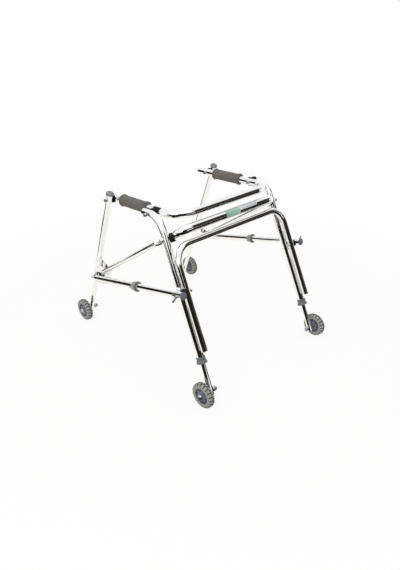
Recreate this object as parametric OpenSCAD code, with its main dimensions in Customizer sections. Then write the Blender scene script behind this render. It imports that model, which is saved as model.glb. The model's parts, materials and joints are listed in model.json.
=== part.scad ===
// Posterior walker for a small child: a chromed tube frame that stands behind the user on four wheels.
// Millimetres. +X is the user's right, +Y is forward (the open side), +Z is up.
// The origin lies on the floor, midway between the axles and the two sides.

/* [Stance] */
// Distance between the front and rear axles
wheel_base = 610; // [560:5:660]
// Distance from the middle plane to a rear leg's axis at axle height
rear_foot_x = 230.3; // [215:0.1:245]
// Distance from the middle plane to a front leg's axis at axle height
front_foot_x = 222.3; // [210:0.1:235]
// Height of the handle axis above the floor at mid length
handle_z = 484; // [470:1:500]
// Slope of the handles, rising towards the back (degrees)
handle_tilt = 3.3; // [2:0.1:5]
// Backward lean of the rear legs (degrees)
rear_lean = 25.3; // [23:0.1:27]
// Outward splay of the rear legs (degrees)
rear_splay = 1.48; // [1:0.01:2]
// Forward lean of the front legs (degrees)
front_lean = 20; // [18:0.1:22]
// Outward splay of the front legs (degrees)
front_splay = 1.04; // [0.5:0.01:1.6]

/* [Handle tube] */
// Outside diameter of the handle tube
handle_d = 22.2; // [20:0.1:24]
// Wall thickness of the handle tube
handle_wall = 1.5; // [1.2:0.1:2.5]
// Distance from the middle plane to a handle's axis
handle_x = 190; // [180:1:200]
// How far a handle's free end reaches past the front leg's bolt
handle_past = 36; // [30:1:50]
// Distance from the rear leg's bolt back to the crossbar behind the user
handle_behind = 80.4; // [75:0.1:95]
// Bend radius of the handle tube's two corners
handle_bend_r = 62; // [50:1:70]

/* [Grips] */
// Diameter of a foam grip
grip_d = 32.5; // [30:0.5:36]
// Diameter of the flange at each end of a grip
grip_flange_d = 37; // [36:0.5:42]
// Width of a grip's end flange
grip_flange_w = 7; // [4:0.5:10]
// Distance from the rear leg's bolt forward to a grip
grip_rear_gap = 42.6; // [38:0.1:48]
// Distance from a grip forward to the front leg's bolt
grip_front_gap = 39; // [34:0.1:44]

/* [Rear legs] */
// Outside diameter of a rear leg tube
rear_d = 22.2; // [20:0.1:24]
// Wall thickness of a rear leg tube
rear_wall = 1.6; // [1.2:0.1:2]
// Distance from the axle to the lower end of a rear leg tube
rear_bottom = 93; // [90:1:105]
// Bend radius at the top of a rear leg tube
rail_bend_r = 58; // [50:1:60]
// Distance between the centres of the adjusting holes
hole_pitch = 25.4; // [22:0.1:28]
// Distance from the axle to the lowest adjusting hole of a rear leg
rear_hole_low = 128; // [124:1:140]
// Number of adjusting holes in a rear leg tube
rear_holes = 11; // [6:1:11]
// Diameter of a leg extension tube
ext_d = 16; // [15:0.1:16.4]
// Wall thickness of a leg extension tube
ext_wall = 1.5; // [1.2:0.1:2]
// Distance from the axle to the top of a rear leg extension
rear_ext_top = 232; // [220:1:245]
// Length of the widened guide at the top of a rear leg extension
ext_guide_len = 40; // [20:1:50]
// How far a leg extension reaches below its axle
ext_below = 11; // [9:1:14]
// Hole that a rear leg's button stands in, counted from the lowest
rear_hole_used = 2; // [1:1:2]

/* [Front legs] */
// Outside diameter of a front leg tube
front_d = 19; // [18.6:0.1:20]
// Wall thickness of a front leg tube
front_wall = 1.2; // [1:0.05:1.2]
// Distance from the axle to the lower end of a front leg tube
front_bottom = 161; // [158:1:164]
// Distance from the axle to the upper end of a front leg tube
front_top = 484; // [480:1:492]
// Distance from the axle to the lowest adjusting hole of a front leg
front_hole_low = 256; // [250:1:262]
// Number of adjusting holes in a front leg tube
front_holes = 7; // [4:1:7]
// Distance from the axle to the top of a front leg extension
front_ext_top = 372; // [360:1:380]
// Hole that a front leg's button stands in, counted from the lowest
front_hole_used = 3; // [2:1:3]

/* [Rear frame] */
// Outside diameter of the U-shaped rear frame's tube
u_d = 19; // [17:0.1:20]
// Wall thickness of the rear frame's tube
u_wall = 1.5; // [1.2:0.1:2]
// Distance from a rear leg's axis back to the rear frame's axis
u_offset = 26; // [25:0.1:28]
// Distance from the axle line up the leg to the rear frame's crossbar
u_top = 411; // [400:1:418]
// Distance from the axle line up the leg to the rear frame's open lower ends
u_bottom = 120; // [114:1:130]
// Bend radius of the rear frame's corners
u_bend_r = 52; // [45:1:60]
// Length of a welded pad between a rear leg and the rear frame
pad_len = 26; // [20:1:30]
// Width of a welded pad
pad_w = 9; // [7:0.5:11]
// Distance up the leg to the lower welded pad
pad_low = 262; // [255:1:268]
// Distance up the leg to the upper welded pad
pad_high = 350; // [325:1:352]

/* [Back bar] */
// Outside diameter of the back bar's tube
bow_d = 25.4; // [24:0.1:27]
// Wall thickness of the back bar's tube
bow_wall = 1.6; // [1.2:0.1:2.5]
// Distance from the middle plane to the axis of a back bar's end
bow_x = 189; // [186:0.5:191]
// Distance up the rear leg to the back bar's bolt
bow_at = 437; // [430:1:440]
// Distance from the bolt back to the back bar's crossbar
bow_reach = 39; // [36:1:44]
// Upward tilt of the back bar's ends towards the rear (degrees)
bow_tilt = 42; // [35:1:50]
// Bend radius of the back bar's corners
bow_bend_r = 34; // [30:1:36]
// How far a back bar's end reaches past its bolt
bow_past = 13; // [10:1:16]

/* [Side bars] */
// Diameter of a side bar's front tube
bar_d = 22.2; // [21.4:0.1:24]
// Wall thickness of a side bar's front tube
bar_wall = 1.3; // [1:0.05:1.3]
// Diameter of a side bar's rear tube
bar_in_d = 19; // [17:0.1:19]
// Wall thickness of a side bar's rear tube
bar_in_wall = 1.5; // [1.2:0.1:2]
// Distance from the middle plane to a side bar's axis
bar_x = 251; // [248:0.5:254]
// Distance from the front leg's axis back to a side bar's front bolt
bar_front_back = 15.5; // [14:0.1:17]
// Distance up the front leg to a side bar's front bolt
bar_front_up = 173.8; // [172:0.1:176]
// Distance up the rear leg to a side bar's rear bolt
bar_rear_up = 289.9; // [285:0.1:295]
// Distance from the front bolt to the round part of the front tube
bar_neck = 32; // [28:1:40]
// Distance from the front bolt to the rear end of the front tube
bar_split = 252; // [240:1:270]
// How far the rear tube reaches into the front tube
bar_lap = 82; // [60:1:110]
// Distance from the rear bolt to the rear end of the side bar
bar_past = 16; // [13:1:20]
// Distance from the front tube's rear end to the button
bar_button_back = 16; // [14:1:26]

/* [Braces] */
// Diameter of a diagonal brace
brace_d = 16; // [14:0.5:18]
// Wall thickness of a diagonal brace
brace_wall = 1.2; // [1:0.1:1.5]
// Distance from the front leg's axis back to a brace's front bolt
brace_front_back = 45; // [43:1:46]
// Distance up the front leg to a brace's front bolt
brace_front_up = 211; // [208:1:212]
// Thickness of a flattened tube end
tongue_t = 2.8; // [2.4:0.1:3.2]
// Distance from the bolt to where the flattened end turns round again
tongue_len = 13; // [11:1:16]
// Length over which a tube changes from flat to round
neck_len = 16; // [12:1:22]

/* [Corner brackets] */
// Sheet thickness of a corner bracket
sheet_t = 2; // [1.5:0.1:2.5]
// Lower edge of a bracket, measured up the leg from the axle
bracket_low = 159; // [157:1:161]
// Upper edge of a bracket at the leg
bracket_high = 224; // [222:1:232]
// How far a bracket's tip reaches behind the leg's axis
bracket_reach = 55; // [54:1:60]
// Height of a bracket's tip
bracket_tip = 22; // [20:1:24]
// Width of the slot in a bracket's cheek
bracket_slot_w = 4; // [3:0.5:6]
// Length of the slot in a bracket's cheek
bracket_slot_h = 14; // [8:0.5:16]

/* [Wheels] */
// Wheel diameter
wheel_d = 76; // [72:1:80]
// Width of a tyre
tyre_w = 21; // [18:0.5:23]
// Height of a tyre from the hub's rim to the tread
tyre_h = 11; // [9:0.5:14]
// Width of the hub's rim
hub_w = 17; // [14:0.5:18]
// Length of the hub's centre boss
hub_boss_len = 22; // [21:0.5:24]
// Diameter of the hub's centre boss
hub_boss_d = 20; // [17:0.5:24]
// Thickness of the hub's web
hub_web = 6; // [4:0.5:9]
// Distance from the leg's axis to the wheel's middle plane
wheel_offset = 27; // [26:0.5:30]
// Number of tread blocks round a tyre
treads = 26; // [16:1:30]
// Depth of the grooves between the tread blocks
tread_deep = 1.6; // [1:0.1:2.5]
// Width of the grooves between the tread blocks
tread_gap = 2.6; // [1.5:0.1:4]
// Diameter of an axle bolt
axle_d = 8; // [7:0.1:8.5]
// Length of an axle bolt's thread showing past its nut
axle_end = 12; // [6:1:16]

/* [Fasteners and saddles] */
// Diameter of a frame bolt
bolt_d = 6; // [5:0.1:6.4]
// Width across the flats of a bolt head or nut
hex_af = 10; // [9:0.1:11]
// Thickness of a bolt head
head_h = 4; // [3:0.1:5]
// Thickness of a nut
nut_h = 5; // [4:0.1:6]
// Length of bolt showing past its nut
bolt_end = 2; // [1:0.1:4]
// Diameter of the washer on a side bar's front bolt
washer_d = 18; // [17:0.5:20]
// Thickness of a washer
washer_t = 1.2; // [1:0.1:1.6]
// Diameter of a moulded saddle
saddle_d = 23; // [20:0.5:24]
// How far a saddle's horns reach round each tube
saddle_wrap = 5; // [4:0.1:6]
// Diameter of the narrow end of a side bar saddle
saddle_tip_d = 11; // [9:0.5:13]
// Span across the two wings of a wing nut
wing_span = 26; // [22:1:30]
// Height of a wing nut's wings
wing_h = 10; // [8:0.5:12]
// Diameter of a spring button
button_d = 6; // [5.5:0.1:6.4]
// How far a spring button stands out of its tube
button_out = 2; // [1.5:0.1:3]
// Diameter of a button's inner flange
button_flange_d = 8.4; // [8:0.1:8.6]
// Thickness of a button's inner flange
button_flange_t = 1.5; // [1:0.1:1.6]
// Thickness of a button spring's strip
spring_t = 0.6; // [0.4:0.05:0.8]
// Width of a button spring's strip
spring_w = 6; // [5:0.1:6.5]
// Length of a button spring's legs
spring_len = 26; // [20:1:30]

/* [Caps and collars] */
// Diameter of a front leg's top cap
cap_d = 24; // [22:0.5:26]
// Height of a front leg's top cap
cap_h = 9; // [7:0.5:11]
// Depth of a cap's plug inside its tube
plug_len = 12; // [8:1:16]
// Diameter of a side bar's end cap
bar_cap_d = 22; // [20.5:0.5:24]
// Thickness of a side bar's end cap
bar_cap_h = 4; // [3:0.5:6]
// Diameter of a collar at its flared lip
collar_lip_d = 31; // [29:0.5:33]
// Wall of a collar round its tube
collar_wall = 2; // [1.6:0.1:2.4]
// Length of a collar over the end of its tube
collar_over = 9; // [7:0.5:11]
// Length of a collar past the end of its tube
collar_past = 9; // [8:0.5:11]
// Depth of the dish in a collar's lip
collar_dish = 3.5; // [2:0.5:5]

/* [Open tube ends] */
// Depth of the reamed mouth in each open tube end
mouth_depth = 22; // [15:1:24]
// How much a reamed mouth is wider than the tube's bore, on the radius
mouth_ream = 0.5; // [0.4:0.05:0.6]

/* [Fits] */
// Clearance round bolts, plugs and saddles
fit = 0.2; // [0.1:0.05:0.25]
// Play that the fold needs round a brace's front bolt, on the radius
brace_play = 1.75; // [1.7:0.05:1.9]
// Play that the fold needs round a side bar's front bolt, on the radius
bar_play = 3.85; // [3.8:0.05:4.2]
// Radial clearance of parts that run or slide on each other
run_fit = 0.06; // [0.03:0.01:0.1]
// Radial clearance of telescoping tubes and buttons
slide_fit = 0.3; // [0.3:0.01:0.35]
// How much a bend swells out past the straight tube beside it
bend_swell = 0.05; // [0.04:0.01:0.08]
// Overrun of a cut past the face it opens
over = 1; // [0.5:0.1:2]

/* [Hidden] */
$fn = 64;
bend_lap = 0.8;
bend_fn = 32;
axle_z = wheel_d / 2;
hub_d = wheel_d - 2 * tyre_h;
rear_y = -wheel_base / 2;
front_y = wheel_base / 2;
bolt_hole_d = bolt_d + 2 * fit;
pivot_hole_d = bolt_d + 2 * run_fit;
half_share = 0.5;
cap_crown_share = 0.55;
lip_share = 0.35;

// A length rounded to a thousandth, so that the pieces of a bent tube meet face to face
function even(l) = round(l * 1000) / 1000;

// Handle and rail geometry
rail_turn = 90 - rear_lean + handle_tilt;
rail_rise = handle_z - axle_z + tan(handle_tilt) * wheel_base / 2;
rear_vertex = rail_rise / (cos(rear_lean) * cos(rear_splay) + tan(handle_tilt) * sin(rear_lean));
rail_tangent = rail_bend_r * tan(rail_turn / 2);
rail_straight = even(rear_vertex - rail_tangent - rear_bottom);
rail_vertex_y = (rear_vertex * sin(rear_lean) - wheel_base / 2) / cos(handle_tilt);
rail_bolt_y = rail_vertex_y + rail_tangent + bolt_d / 2;
rail_stub = bolt_d / 2 + rear_d;
rail_x = rear_foot_x - (rear_vertex - rail_tangent / 2) * tan(rear_splay);

// Point on a handle's axis, y measured along the handle
function handle_yz(y) = [y * cos(handle_tilt), handle_z - y * sin(handle_tilt)];
// Point on a rear leg's axis plane, p up the leg and q in front of it
function rear_yz(p, q) = [
    p * sin(rear_lean) + q * cos(rear_lean) - wheel_base / 2,
    axle_z + p * cos(rear_lean) - q * sin(rear_lean)
];
// Point on a front leg's axis plane, p up the leg and q in front of it
function front_yz(p, q) = [
    wheel_base / 2 - p * sin(front_lean) + q * cos(front_lean),
    axle_z + p * cos(front_lean) + q * sin(front_lean)
];
// Distance of a rear or front leg's axis from the middle plane
function rear_x(p) = rear_foot_x - p * tan(rear_splay);
function front_x(p) = front_foot_x - p * tan(front_splay);

// Where the front leg crosses the handle
front_cross = (handle_z - axle_z - tan(handle_tilt) * wheel_base / 2)
    / (cos(front_lean) - tan(handle_tilt) * sin(front_lean));
bow_leg = bow_reach + bow_past - bow_bend_r;
front_bolt = front_yz(front_cross, 0);
rail_bolt = handle_yz(rail_bolt_y);
front_bolt_y = front_bolt[0] / cos(handle_tilt);
handle_back = handle_behind - rail_bolt_y;
handle_leg = handle_back + front_bolt_y + handle_past - handle_bend_r;
grip_back = rail_bolt_y + grip_rear_gap;
grip_len = front_bolt_y - grip_front_gap - grip_back;
bow_bolt = rear_yz(bow_at, 0);
bar_front = front_yz(bar_front_up, -bar_front_back);
bar_bolt = rear_yz(bar_rear_up, -u_offset);
bar_rise = bar_bolt[1] - bar_front[1];
bar_run = bar_front[0] - bar_bolt[0];
bar_tilt = atan2(bar_rise, bar_run);
bar_bolt_at = sqrt(bar_rise * bar_rise + bar_run * bar_run);
bar_in_start = bar_split - bar_lap;
bar_button_at = bar_split - bar_button_back;
brace_bolt = front_yz(brace_front_up, -brace_front_back);
brace_rise = bow_bolt[1] - brace_bolt[1];
brace_run = brace_bolt[0] - bow_bolt[0];
brace_angle = atan2(brace_rise, brace_run);
brace_len = sqrt(brace_rise * brace_rise + brace_run * brace_run);

// U-shaped rear frame
u_turn = 90 - rear_splay;
u_tangent = u_bend_r * tan(u_turn / 2);
u_half = even(rear_x(u_top) - u_tangent);
u_leg = even((u_top - u_bottom) / cos(rear_splay) - u_tangent);

// Bracket section and the flattened ends that lie against it
bracket_in = front_d / 2 + fit;
bracket_out = bracket_in + sheet_t;
tongue_x = front_x(bracket_low) + bracket_out + fit;
tongue_out = tongue_x + tongue_t;
brace_x = tongue_x + brace_d / 2 - fit;

// Buttons and the holes they stand in
rear_button_at = rear_hole_low + rear_hole_used * hole_pitch;
front_button_at = front_hole_low + front_hole_used * hole_pitch;
button_hole_d = button_d + 2 * slide_fit;
ext_bore = ext_d / 2 - ext_wall;
button_seat = ext_bore * ext_bore - button_flange_d * button_flange_d / 4;
button_foot = sqrt(button_seat) - slide_fit - button_flange_t;
bar_bore = bar_in_d / 2 - bar_in_wall;
bar_button_seat = bar_bore * bar_bore - button_flange_d * button_flange_d / 4;
bar_button_foot = sqrt(bar_button_seat) - slide_fit - button_flange_t;

// Frames of reference, each drawn for the right-hand side
module both() {
    children();
    mirror([1, 0, 0]) children();
}
module left() {
    mirror([1, 0, 0]) children();
}
module handle_plane() {
    translate([0, 0, handle_z]) rotate([-handle_tilt, 0, 0]) children();
}
module rear_plane() {
    translate([0, rear_y, axle_z]) rotate([-rear_lean, 0, 0]) children();
}
module rear_leg_axis() {
    rear_plane() translate([rear_foot_x, 0, 0]) rotate([0, -rear_splay, 0]) children();
}
module front_leg_axis() {
    translate([front_foot_x, front_y, axle_z]) rotate([front_lean, 0, 0])
        rotate([0, -front_splay, 0]) children();
}
module bar_axis() {
    translate([bar_x, bar_front[0], bar_front[1]]) rotate([90 - bar_tilt, 0, 0]) children();
}
module brace_axis() {
    translate([brace_x, brace_bolt[0], brace_bolt[1]]) rotate([90 - brace_angle, 0, 0]) children();
}
// A rod across the frame at yz, from x = from to x = to
module cross_rod(yz, from, to, d) {
    translate([from, yz[0], yz[1]]) rotate([0, 90, 0]) cylinder(h = to - from, d = d);
}
module cross_hex(yz, from, to, af) {
    translate([from, yz[0], yz[1]]) rotate([0, 90, 0]) cylinder(h = to - from, d = af / cos(30), $fn = 6);
}
module hole_across(yz, d) {
    cross_rod(yz, handle_x / 2, bar_x + bar_d, d);
}
module bolt_hole(yz) {
    hole_across(yz, bolt_hole_d);
}
module pivot_hole(yz) {
    hole_across(yz, pivot_hole_d);
}

// A mandrel bend: it laps over the straight rods at both ends and is swelled a little
module bend(r, turn, d) {
    rotate([0, 0, -bend_lap]) rotate_extrude(angle = turn + 2 * bend_lap)
        translate([r, 0]) circle(d = d + 2 * bend_swell);
}
// A rod that rises by l1, turns forward through an angle, and runs on by l2
module bent_rod(l1, r, turn, l2, d) {
    cylinder(h = l1, d = d);
    translate([0, r, l1]) rotate([90, 0, -90]) bend(r, turn, d);
    translate([0, r, l1]) rotate([-turn, 0, 0]) translate([0, -r, 0]) cylinder(h = l2, d = d);
}
// A U of rod: a crossbar along X, two corners that turn downward, two legs
module u_rod(half, r, turn, leg, d) {
    translate([-half, 0, 0]) rotate([0, 90, 0]) cylinder(h = 2 * half, d = d);
    both() translate([half, 0, -r]) rotate([-90, 0, 0]) rotate([0, 0, -90]) bend(r, turn, d);
    both() translate([half, 0, -r]) rotate([0, turn, 0]) translate([0, 0, r])
        rotate([0, 90, 0]) cylinder(h = leg, d = d);
}
module u_tube(half, r, turn, leg, d, wall) {
    difference() {
        u_rod(half, r, turn, leg, d);
        u_rod(half, r, turn, leg + over, d - 2 * wall);
    }
}
// Reamed mouths in the two open ends of a U of tube
module u_mouths(half, r, turn, leg, bore) {
    both() translate([half, 0, -r]) rotate([0, turn, 0]) translate([leg - mouth_depth, 0, r])
        rotate([0, 90, 0]) cylinder(h = mouth_depth + over, d = bore + 2 * mouth_ream);
}
module pipe(l, d, wall) {
    difference() {
        cylinder(h = l, d = d);
        translate([0, 0, -over]) cylinder(h = l + 2 * over, d = d - 2 * wall);
    }
}
// A row of holes through the front wall of a tube that stands along Z
module front_holes_row(low, count, d) {
    for (i = [0 : count - 1])
        translate([0, 0, low + i * hole_pitch]) rotate([-90, 0, 0]) cylinder(h = d, d = button_hole_d);
}

module handle_solid(grow) {
    handle_plane() translate([0, -handle_back, 0]) rotate([90, 0, 0])
        u_rod(handle_x - handle_bend_r, handle_bend_r, 90, handle_leg, handle_d + 2 * grow);
}
module handle_tube() {
    color("silver") difference() {
        handle_plane() translate([0, -handle_back, 0]) rotate([90, 0, 0])
            u_tube(handle_x - handle_bend_r, handle_bend_r, 90, handle_leg, handle_d, handle_wall);
        handle_plane() translate([0, -handle_back, 0]) rotate([90, 0, 0]) u_mouths(
            handle_x - handle_bend_r, handle_bend_r, 90, handle_leg, handle_d - 2 * handle_wall);
        both() bolt_hole(front_bolt);
        both() pivot_hole(rail_bolt);
    }
}

// Foam sleeve with a rolled flange at each end
module grip() {
    color("dimgray") handle_plane() translate([handle_x, grip_back, 0]) rotate([-90, 0, 0]) rotate_extrude()
        difference() {
            union() {
                translate([handle_d / 2 + fit / 2, 0]) square([(grip_d - handle_d - fit) / 2, grip_len]);
                for (z = [grip_flange_w / 2, grip_len - grip_flange_w / 2])
                    translate([(grip_flange_d - grip_flange_w) / 2, z])
                        circle(d = grip_flange_w, $fn = bend_fn);
            }
            translate([0, -over]) square([handle_d / 2 + fit / 2, grip_len + 2 * over]);
        }
}

// Back bar: its two short ends rise to a crossbar behind the user
module back_bar_axis() {
    translate([0, bow_bolt[0], bow_bolt[1]]) rotate([-bow_tilt, 0, 0])
        translate([0, -bow_reach, 0]) rotate([90, 0, 0]) children();
}
module back_bar() {
    color("silver") difference() {
        back_bar_axis() u_tube(bow_x - bow_bend_r, bow_bend_r, 90, bow_leg, bow_d, bow_wall);
        both() bolt_hole(bow_bolt);
    }
}

// U-shaped rear frame, parallel to the rear legs and just behind them
module rear_frame() {
    color("silver") difference() {
        rear_plane() translate([0, -u_offset, u_top])
            u_tube(u_half, u_bend_r, u_turn, u_leg, u_d, u_wall);
        rear_plane() translate([0, -u_offset, u_top])
            u_mouths(u_half, u_bend_r, u_turn, u_leg, u_d - 2 * u_wall);
        both() bolt_hole(bar_bolt);
    }
}
// Pads welded between each rear leg and the rear frame, hollowed to both tubes
module rear_frame_pads() {
    color("silver") both() rear_leg_axis() for (p = [pad_low, pad_high]) translate([0, 0, p]) difference() {
        translate([-pad_w / 2, -u_offset, -pad_len / 2]) cube([pad_w, u_offset, pad_len]);
        translate([0, 0, -pad_len]) cylinder(h = 2 * pad_len, d = rear_d + fit);
        translate([0, -u_offset, -pad_len]) cylinder(h = 2 * pad_len, d = u_d + fit);
    }
}

// Rear leg tube: straight leg with adjusting holes, bent forward into a short stub at the top
module rear_leg() {
    color("silver") difference() {
        rear_leg_axis() difference() {
            translate([0, 0, rear_bottom])
                bent_rod(rail_straight, rail_bend_r, rail_turn, rail_stub, rear_d);
            translate([0, 0, rear_bottom - over])
                bent_rod(rail_straight + over, rail_bend_r, rail_turn, rail_stub + over,
                    rear_d - 2 * rear_wall);
            front_holes_row(rear_hole_low, rear_holes, rear_d);
        }
        bolt_hole(bow_bolt);
        bolt_hole(rail_bolt);
    }
}
// Collar with a flared lip: it slips over the end of the outer tube and guides the inner one
module collar(outer_d, inner_d, clear) {
    top_r = outer_d / 2 + collar_wall;
    lip_r = collar_lip_d / 2;
    bore_r = inner_d / 2 + clear;
    rotate_extrude() polygon([
        [outer_d / 2 + fit, collar_over],
        [top_r, collar_over],
        [top_r, 0],
        [lip_r, -collar_past * (1 - lip_share)],
        [lip_r, -collar_past],
        [lip_r - collar_wall, -collar_past],
        [bore_r + collar_wall, collar_dish - collar_past],
        [bore_r, collar_dish - collar_past],
        [bore_r, -fit],
        [outer_d / 2 + fit, -fit]
    ]);
}
module rear_collar() {
    color("slategray") rear_leg_axis() translate([0, 0, rear_bottom]) collar(rear_d, ext_d, run_fit);
}
// Rear leg extension with its upper end widened to guide it in the leg
module rear_extension() {
    guide_d = rear_d - 2 * rear_wall - 2 * slide_fit;
    color("silver") difference() {
        rear_leg_axis() difference() {
            union() {
                translate([0, 0, -ext_below]) cylinder(h = rear_ext_top + ext_below, d = ext_d);
                translate([0, 0, rear_ext_top - ext_guide_len]) cylinder(h = ext_guide_len, d = guide_d);
            }
            translate([0, 0, -ext_below - over])
                cylinder(h = rear_ext_top + ext_below + 2 * over, d = 2 * ext_bore);
            translate([0, 0, rear_button_at]) rotate([-90, 0, 0]) cylinder(h = rear_d, d = button_hole_d);
        }
        cross_rod([-wheel_base / 2, axle_z], rear_foot_x - rear_d, rear_foot_x + rear_d, axle_d + 2 * fit);
    }
}
// Spring button: a round pin with a flange that stays behind the tube's wall
module button(tip, foot) {
    rotate([-90, 0, 0]) {
        translate([0, 0, foot]) cylinder(h = button_flange_t, d = button_flange_d);
        translate([0, 0, foot]) cylinder(h = tip - foot - button_d / 4, d = button_d);
        translate([0, 0, tip - button_d / 4]) cylinder(h = button_d / 4, d1 = button_d, d2 = button_d / 2);
    }
}
module rear_button() {
    color("silver") rear_leg_axis() translate([0, 0, rear_button_at])
        button(rear_d / 2 + button_out, button_foot);
}
// Hairpin spring strip: one leg behind the button, one on the far wall, a bend at the top
module hairpin(foot, bore) {
    back = -sqrt(bore * bore - spring_w * spring_w / 4) + fit;
    front = foot - run_fit;
    mid = (front + back) / 2;
    bend = (front - back) / 2;
    translate([-spring_w / 2, 0, 0]) rotate([90, 0, 90]) linear_extrude(height = spring_w) {
        translate([front - spring_t, -spring_len / 2]) square([spring_t, spring_len]);
        translate([back, -spring_len / 2]) square([spring_t, spring_len]);
        translate([mid, spring_len / 2]) intersection() {
            difference() {
                circle(r = bend);
                circle(r = bend - spring_t);
            }
            translate([-bend, 0]) square([2 * bend, bend]);
        }
    }
}
module rear_spring() {
    color("gray") rear_leg_axis() translate([0, 0, rear_button_at]) hairpin(button_foot, ext_bore);
}

// Front leg tube, its domed cap, its extension and its button
module front_leg() {
    color("silver") difference() {
        front_leg_axis() difference() {
            translate([0, 0, front_bottom]) pipe(front_top - front_bottom, front_d, front_wall);
            front_holes_row(front_hole_low, front_holes, front_d);
        }
        pivot_hole(front_bolt);
    }
}
module dome_cap(d, h, plug_d) {
    crown = h * cap_crown_share;
    crown_r = (d * d / 4 + crown * crown) / (2 * crown);
    rotate_extrude() {
        translate([0, -plug_len]) square([plug_d / 2, plug_len]);
        square([d / 2, h - crown]);
        translate([0, h - crown]) intersection() {
            translate([0, crown - crown_r]) circle(r = crown_r);
            square([d / 2, crown]);
        }
    }
}
module front_cap() {
    color("gray") front_leg_axis() translate([0, 0, front_top])
        dome_cap(cap_d, cap_h, front_d - 2 * front_wall - 2 * fit);
}
module front_extension() {
    color("silver") difference() {
        front_leg_axis() difference() {
            translate([0, 0, -ext_below]) pipe(front_ext_top + ext_below, ext_d, ext_wall);
            translate([0, 0, front_button_at]) rotate([-90, 0, 0]) cylinder(h = front_d, d = button_hole_d);
        }
        cross_rod([wheel_base / 2, axle_z], front_foot_x - rear_d, front_foot_x + rear_d, axle_d + 2 * fit);
    }
}
module front_button() {
    color("silver") front_leg_axis() translate([0, 0, front_button_at])
        button(front_d / 2 + button_out, button_foot);
}
module front_spring() {
    color("gray") front_leg_axis() translate([0, 0, front_button_at]) hairpin(button_foot, ext_bore);
}

// Corner bracket: one sheet folded round the front of the leg, with two cheeks that narrow to a tip
module bracket_section() {
    difference() {
        union() {
            circle(r = bracket_out);
            translate([-bracket_out, -bracket_reach]) square([2 * bracket_out, bracket_reach]);
        }
        circle(r = bracket_in);
        translate([-bracket_in, -bracket_reach - over]) square([2 * bracket_in, bracket_reach + over]);
    }
}
module bracket_outline() {
    tip_low = brace_front_up - bracket_tip / 2;
    tip_high = brace_front_up + bracket_tip / 2;
    polygon([
        [bracket_out, bracket_low], [bracket_out, bracket_high],
        [-bracket_in, bracket_high], [-bracket_reach, tip_high],
        [-bracket_reach, tip_low], [-bracket_in - bracket_tip, bracket_low]
    ]);
}
module corner_bracket() {
    color("silver") difference() {
        front_leg_axis() difference() {
            intersection() {
                translate([0, 0, bracket_low])
                    linear_extrude(height = bracket_high - bracket_low) bracket_section();
                translate([-2 * bracket_out, 0, 0]) rotate([90, 0, 90])
                    linear_extrude(height = 4 * bracket_out) bracket_outline();
            }
            translate([-2 * bracket_out, -bracket_in - bracket_slot_w, brace_front_up - bracket_slot_h / 2])
                cube([4 * bracket_out, bracket_slot_w, bracket_slot_h]);
        }
        bolt_hole(bar_front);
        bolt_hole(brace_bolt);
    }
}

// Flattened tube end: a flat tongue round the bolt, then a neck that opens to the round tube
module tongue_end(d, inner_x, neck_end) {
    tongue_w = d;
    hull() {
        translate([inner_x, 0, tongue_len]) rotate([90, 0, 0]) translate([0, 0, -tongue_w / 2])
            cube([tongue_t, tongue_t / 4, tongue_w]);
        translate([0, 0, neck_end]) cylinder(h = tongue_t / 4, d = d - 2 * bend_swell, $fn = bend_fn);
    }
    translate([inner_x, 0, 0]) rotate([0, 90, 0]) cylinder(h = tongue_t, d = tongue_w);
    translate([inner_x, -tongue_w / 2, 0]) cube([tongue_t, tongue_w, tongue_len + tongue_t / 4]);
}
// Front tube of a side bar: flat front end on the bracket, button hole near the rear end
module side_bar() {
    color("silver") difference() {
        bar_axis() difference() {
            union() {
                tongue_end(bar_d, tongue_x - bar_x, bar_neck);
                translate([0, 0, bar_neck]) cylinder(h = bar_split - bar_neck, d = bar_d);
            }
            translate([0, 0, bar_neck + bar_wall]) cylinder(h = bar_split, d = bar_d - 2 * bar_wall);
            translate([0, 0, bar_button_at]) rotate([0, 90, 0]) cylinder(h = bar_d, d = button_hole_d);
        }
        hole_across(bar_front, bolt_hole_d + 2 * bar_play);
    }
}
module side_bar_rear() {
    color("silver") difference() {
        bar_axis() difference() {
            translate([0, 0, bar_in_start])
                pipe(bar_bolt_at + bar_past - bar_in_start, bar_in_d, bar_in_wall);
            translate([0, 0, bar_button_at]) rotate([0, 90, 0]) cylinder(h = bar_d, d = button_hole_d);
        }
        pivot_hole(bar_bolt);
    }
}
module bar_collar() {
    color("darkgray") bar_axis() translate([0, 0, bar_split]) rotate([180, 0, 0])
        collar(bar_d, bar_in_d, run_fit);
}
module bar_cap() {
    color("slategray") bar_axis() translate([0, 0, bar_bolt_at + bar_past])
        dome_cap(bar_cap_d, bar_cap_h, bar_in_d - 2 * bar_in_wall - 2 * fit);
}
module bar_button() {
    color("silver") bar_axis() translate([0, 0, bar_button_at]) rotate([0, 0, -90])
        button(bar_d / 2 + button_out, bar_button_foot);
}
module bar_spring() {
    color("gray") bar_axis() translate([0, 0, bar_button_at]) rotate([0, 0, -90])
        hairpin(bar_button_foot, bar_bore);
}
// Diagonal brace with both ends flattened; its front hole is wide, so that the frame can fold
module brace() {
    inner_x = tongue_x - brace_x;
    round_at = tongue_len + neck_len;
    color("silver") difference() {
        brace_axis() difference() {
            union() {
                tongue_end(brace_d, inner_x, round_at);
                translate([0, 0, brace_len]) rotate([180, 0, 0]) tongue_end(brace_d, inner_x, round_at);
                translate([0, 0, round_at]) cylinder(h = brace_len - 2 * round_at, d = brace_d);
            }
            translate([0, 0, round_at + brace_wall])
                cylinder(h = brace_len - 2 * (round_at + brace_wall), d = brace_d - 2 * brace_wall);
        }
        pivot_hole(bow_bolt);
        hole_across(brace_bolt, bolt_hole_d + 2 * brace_play);
    }
}

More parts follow.
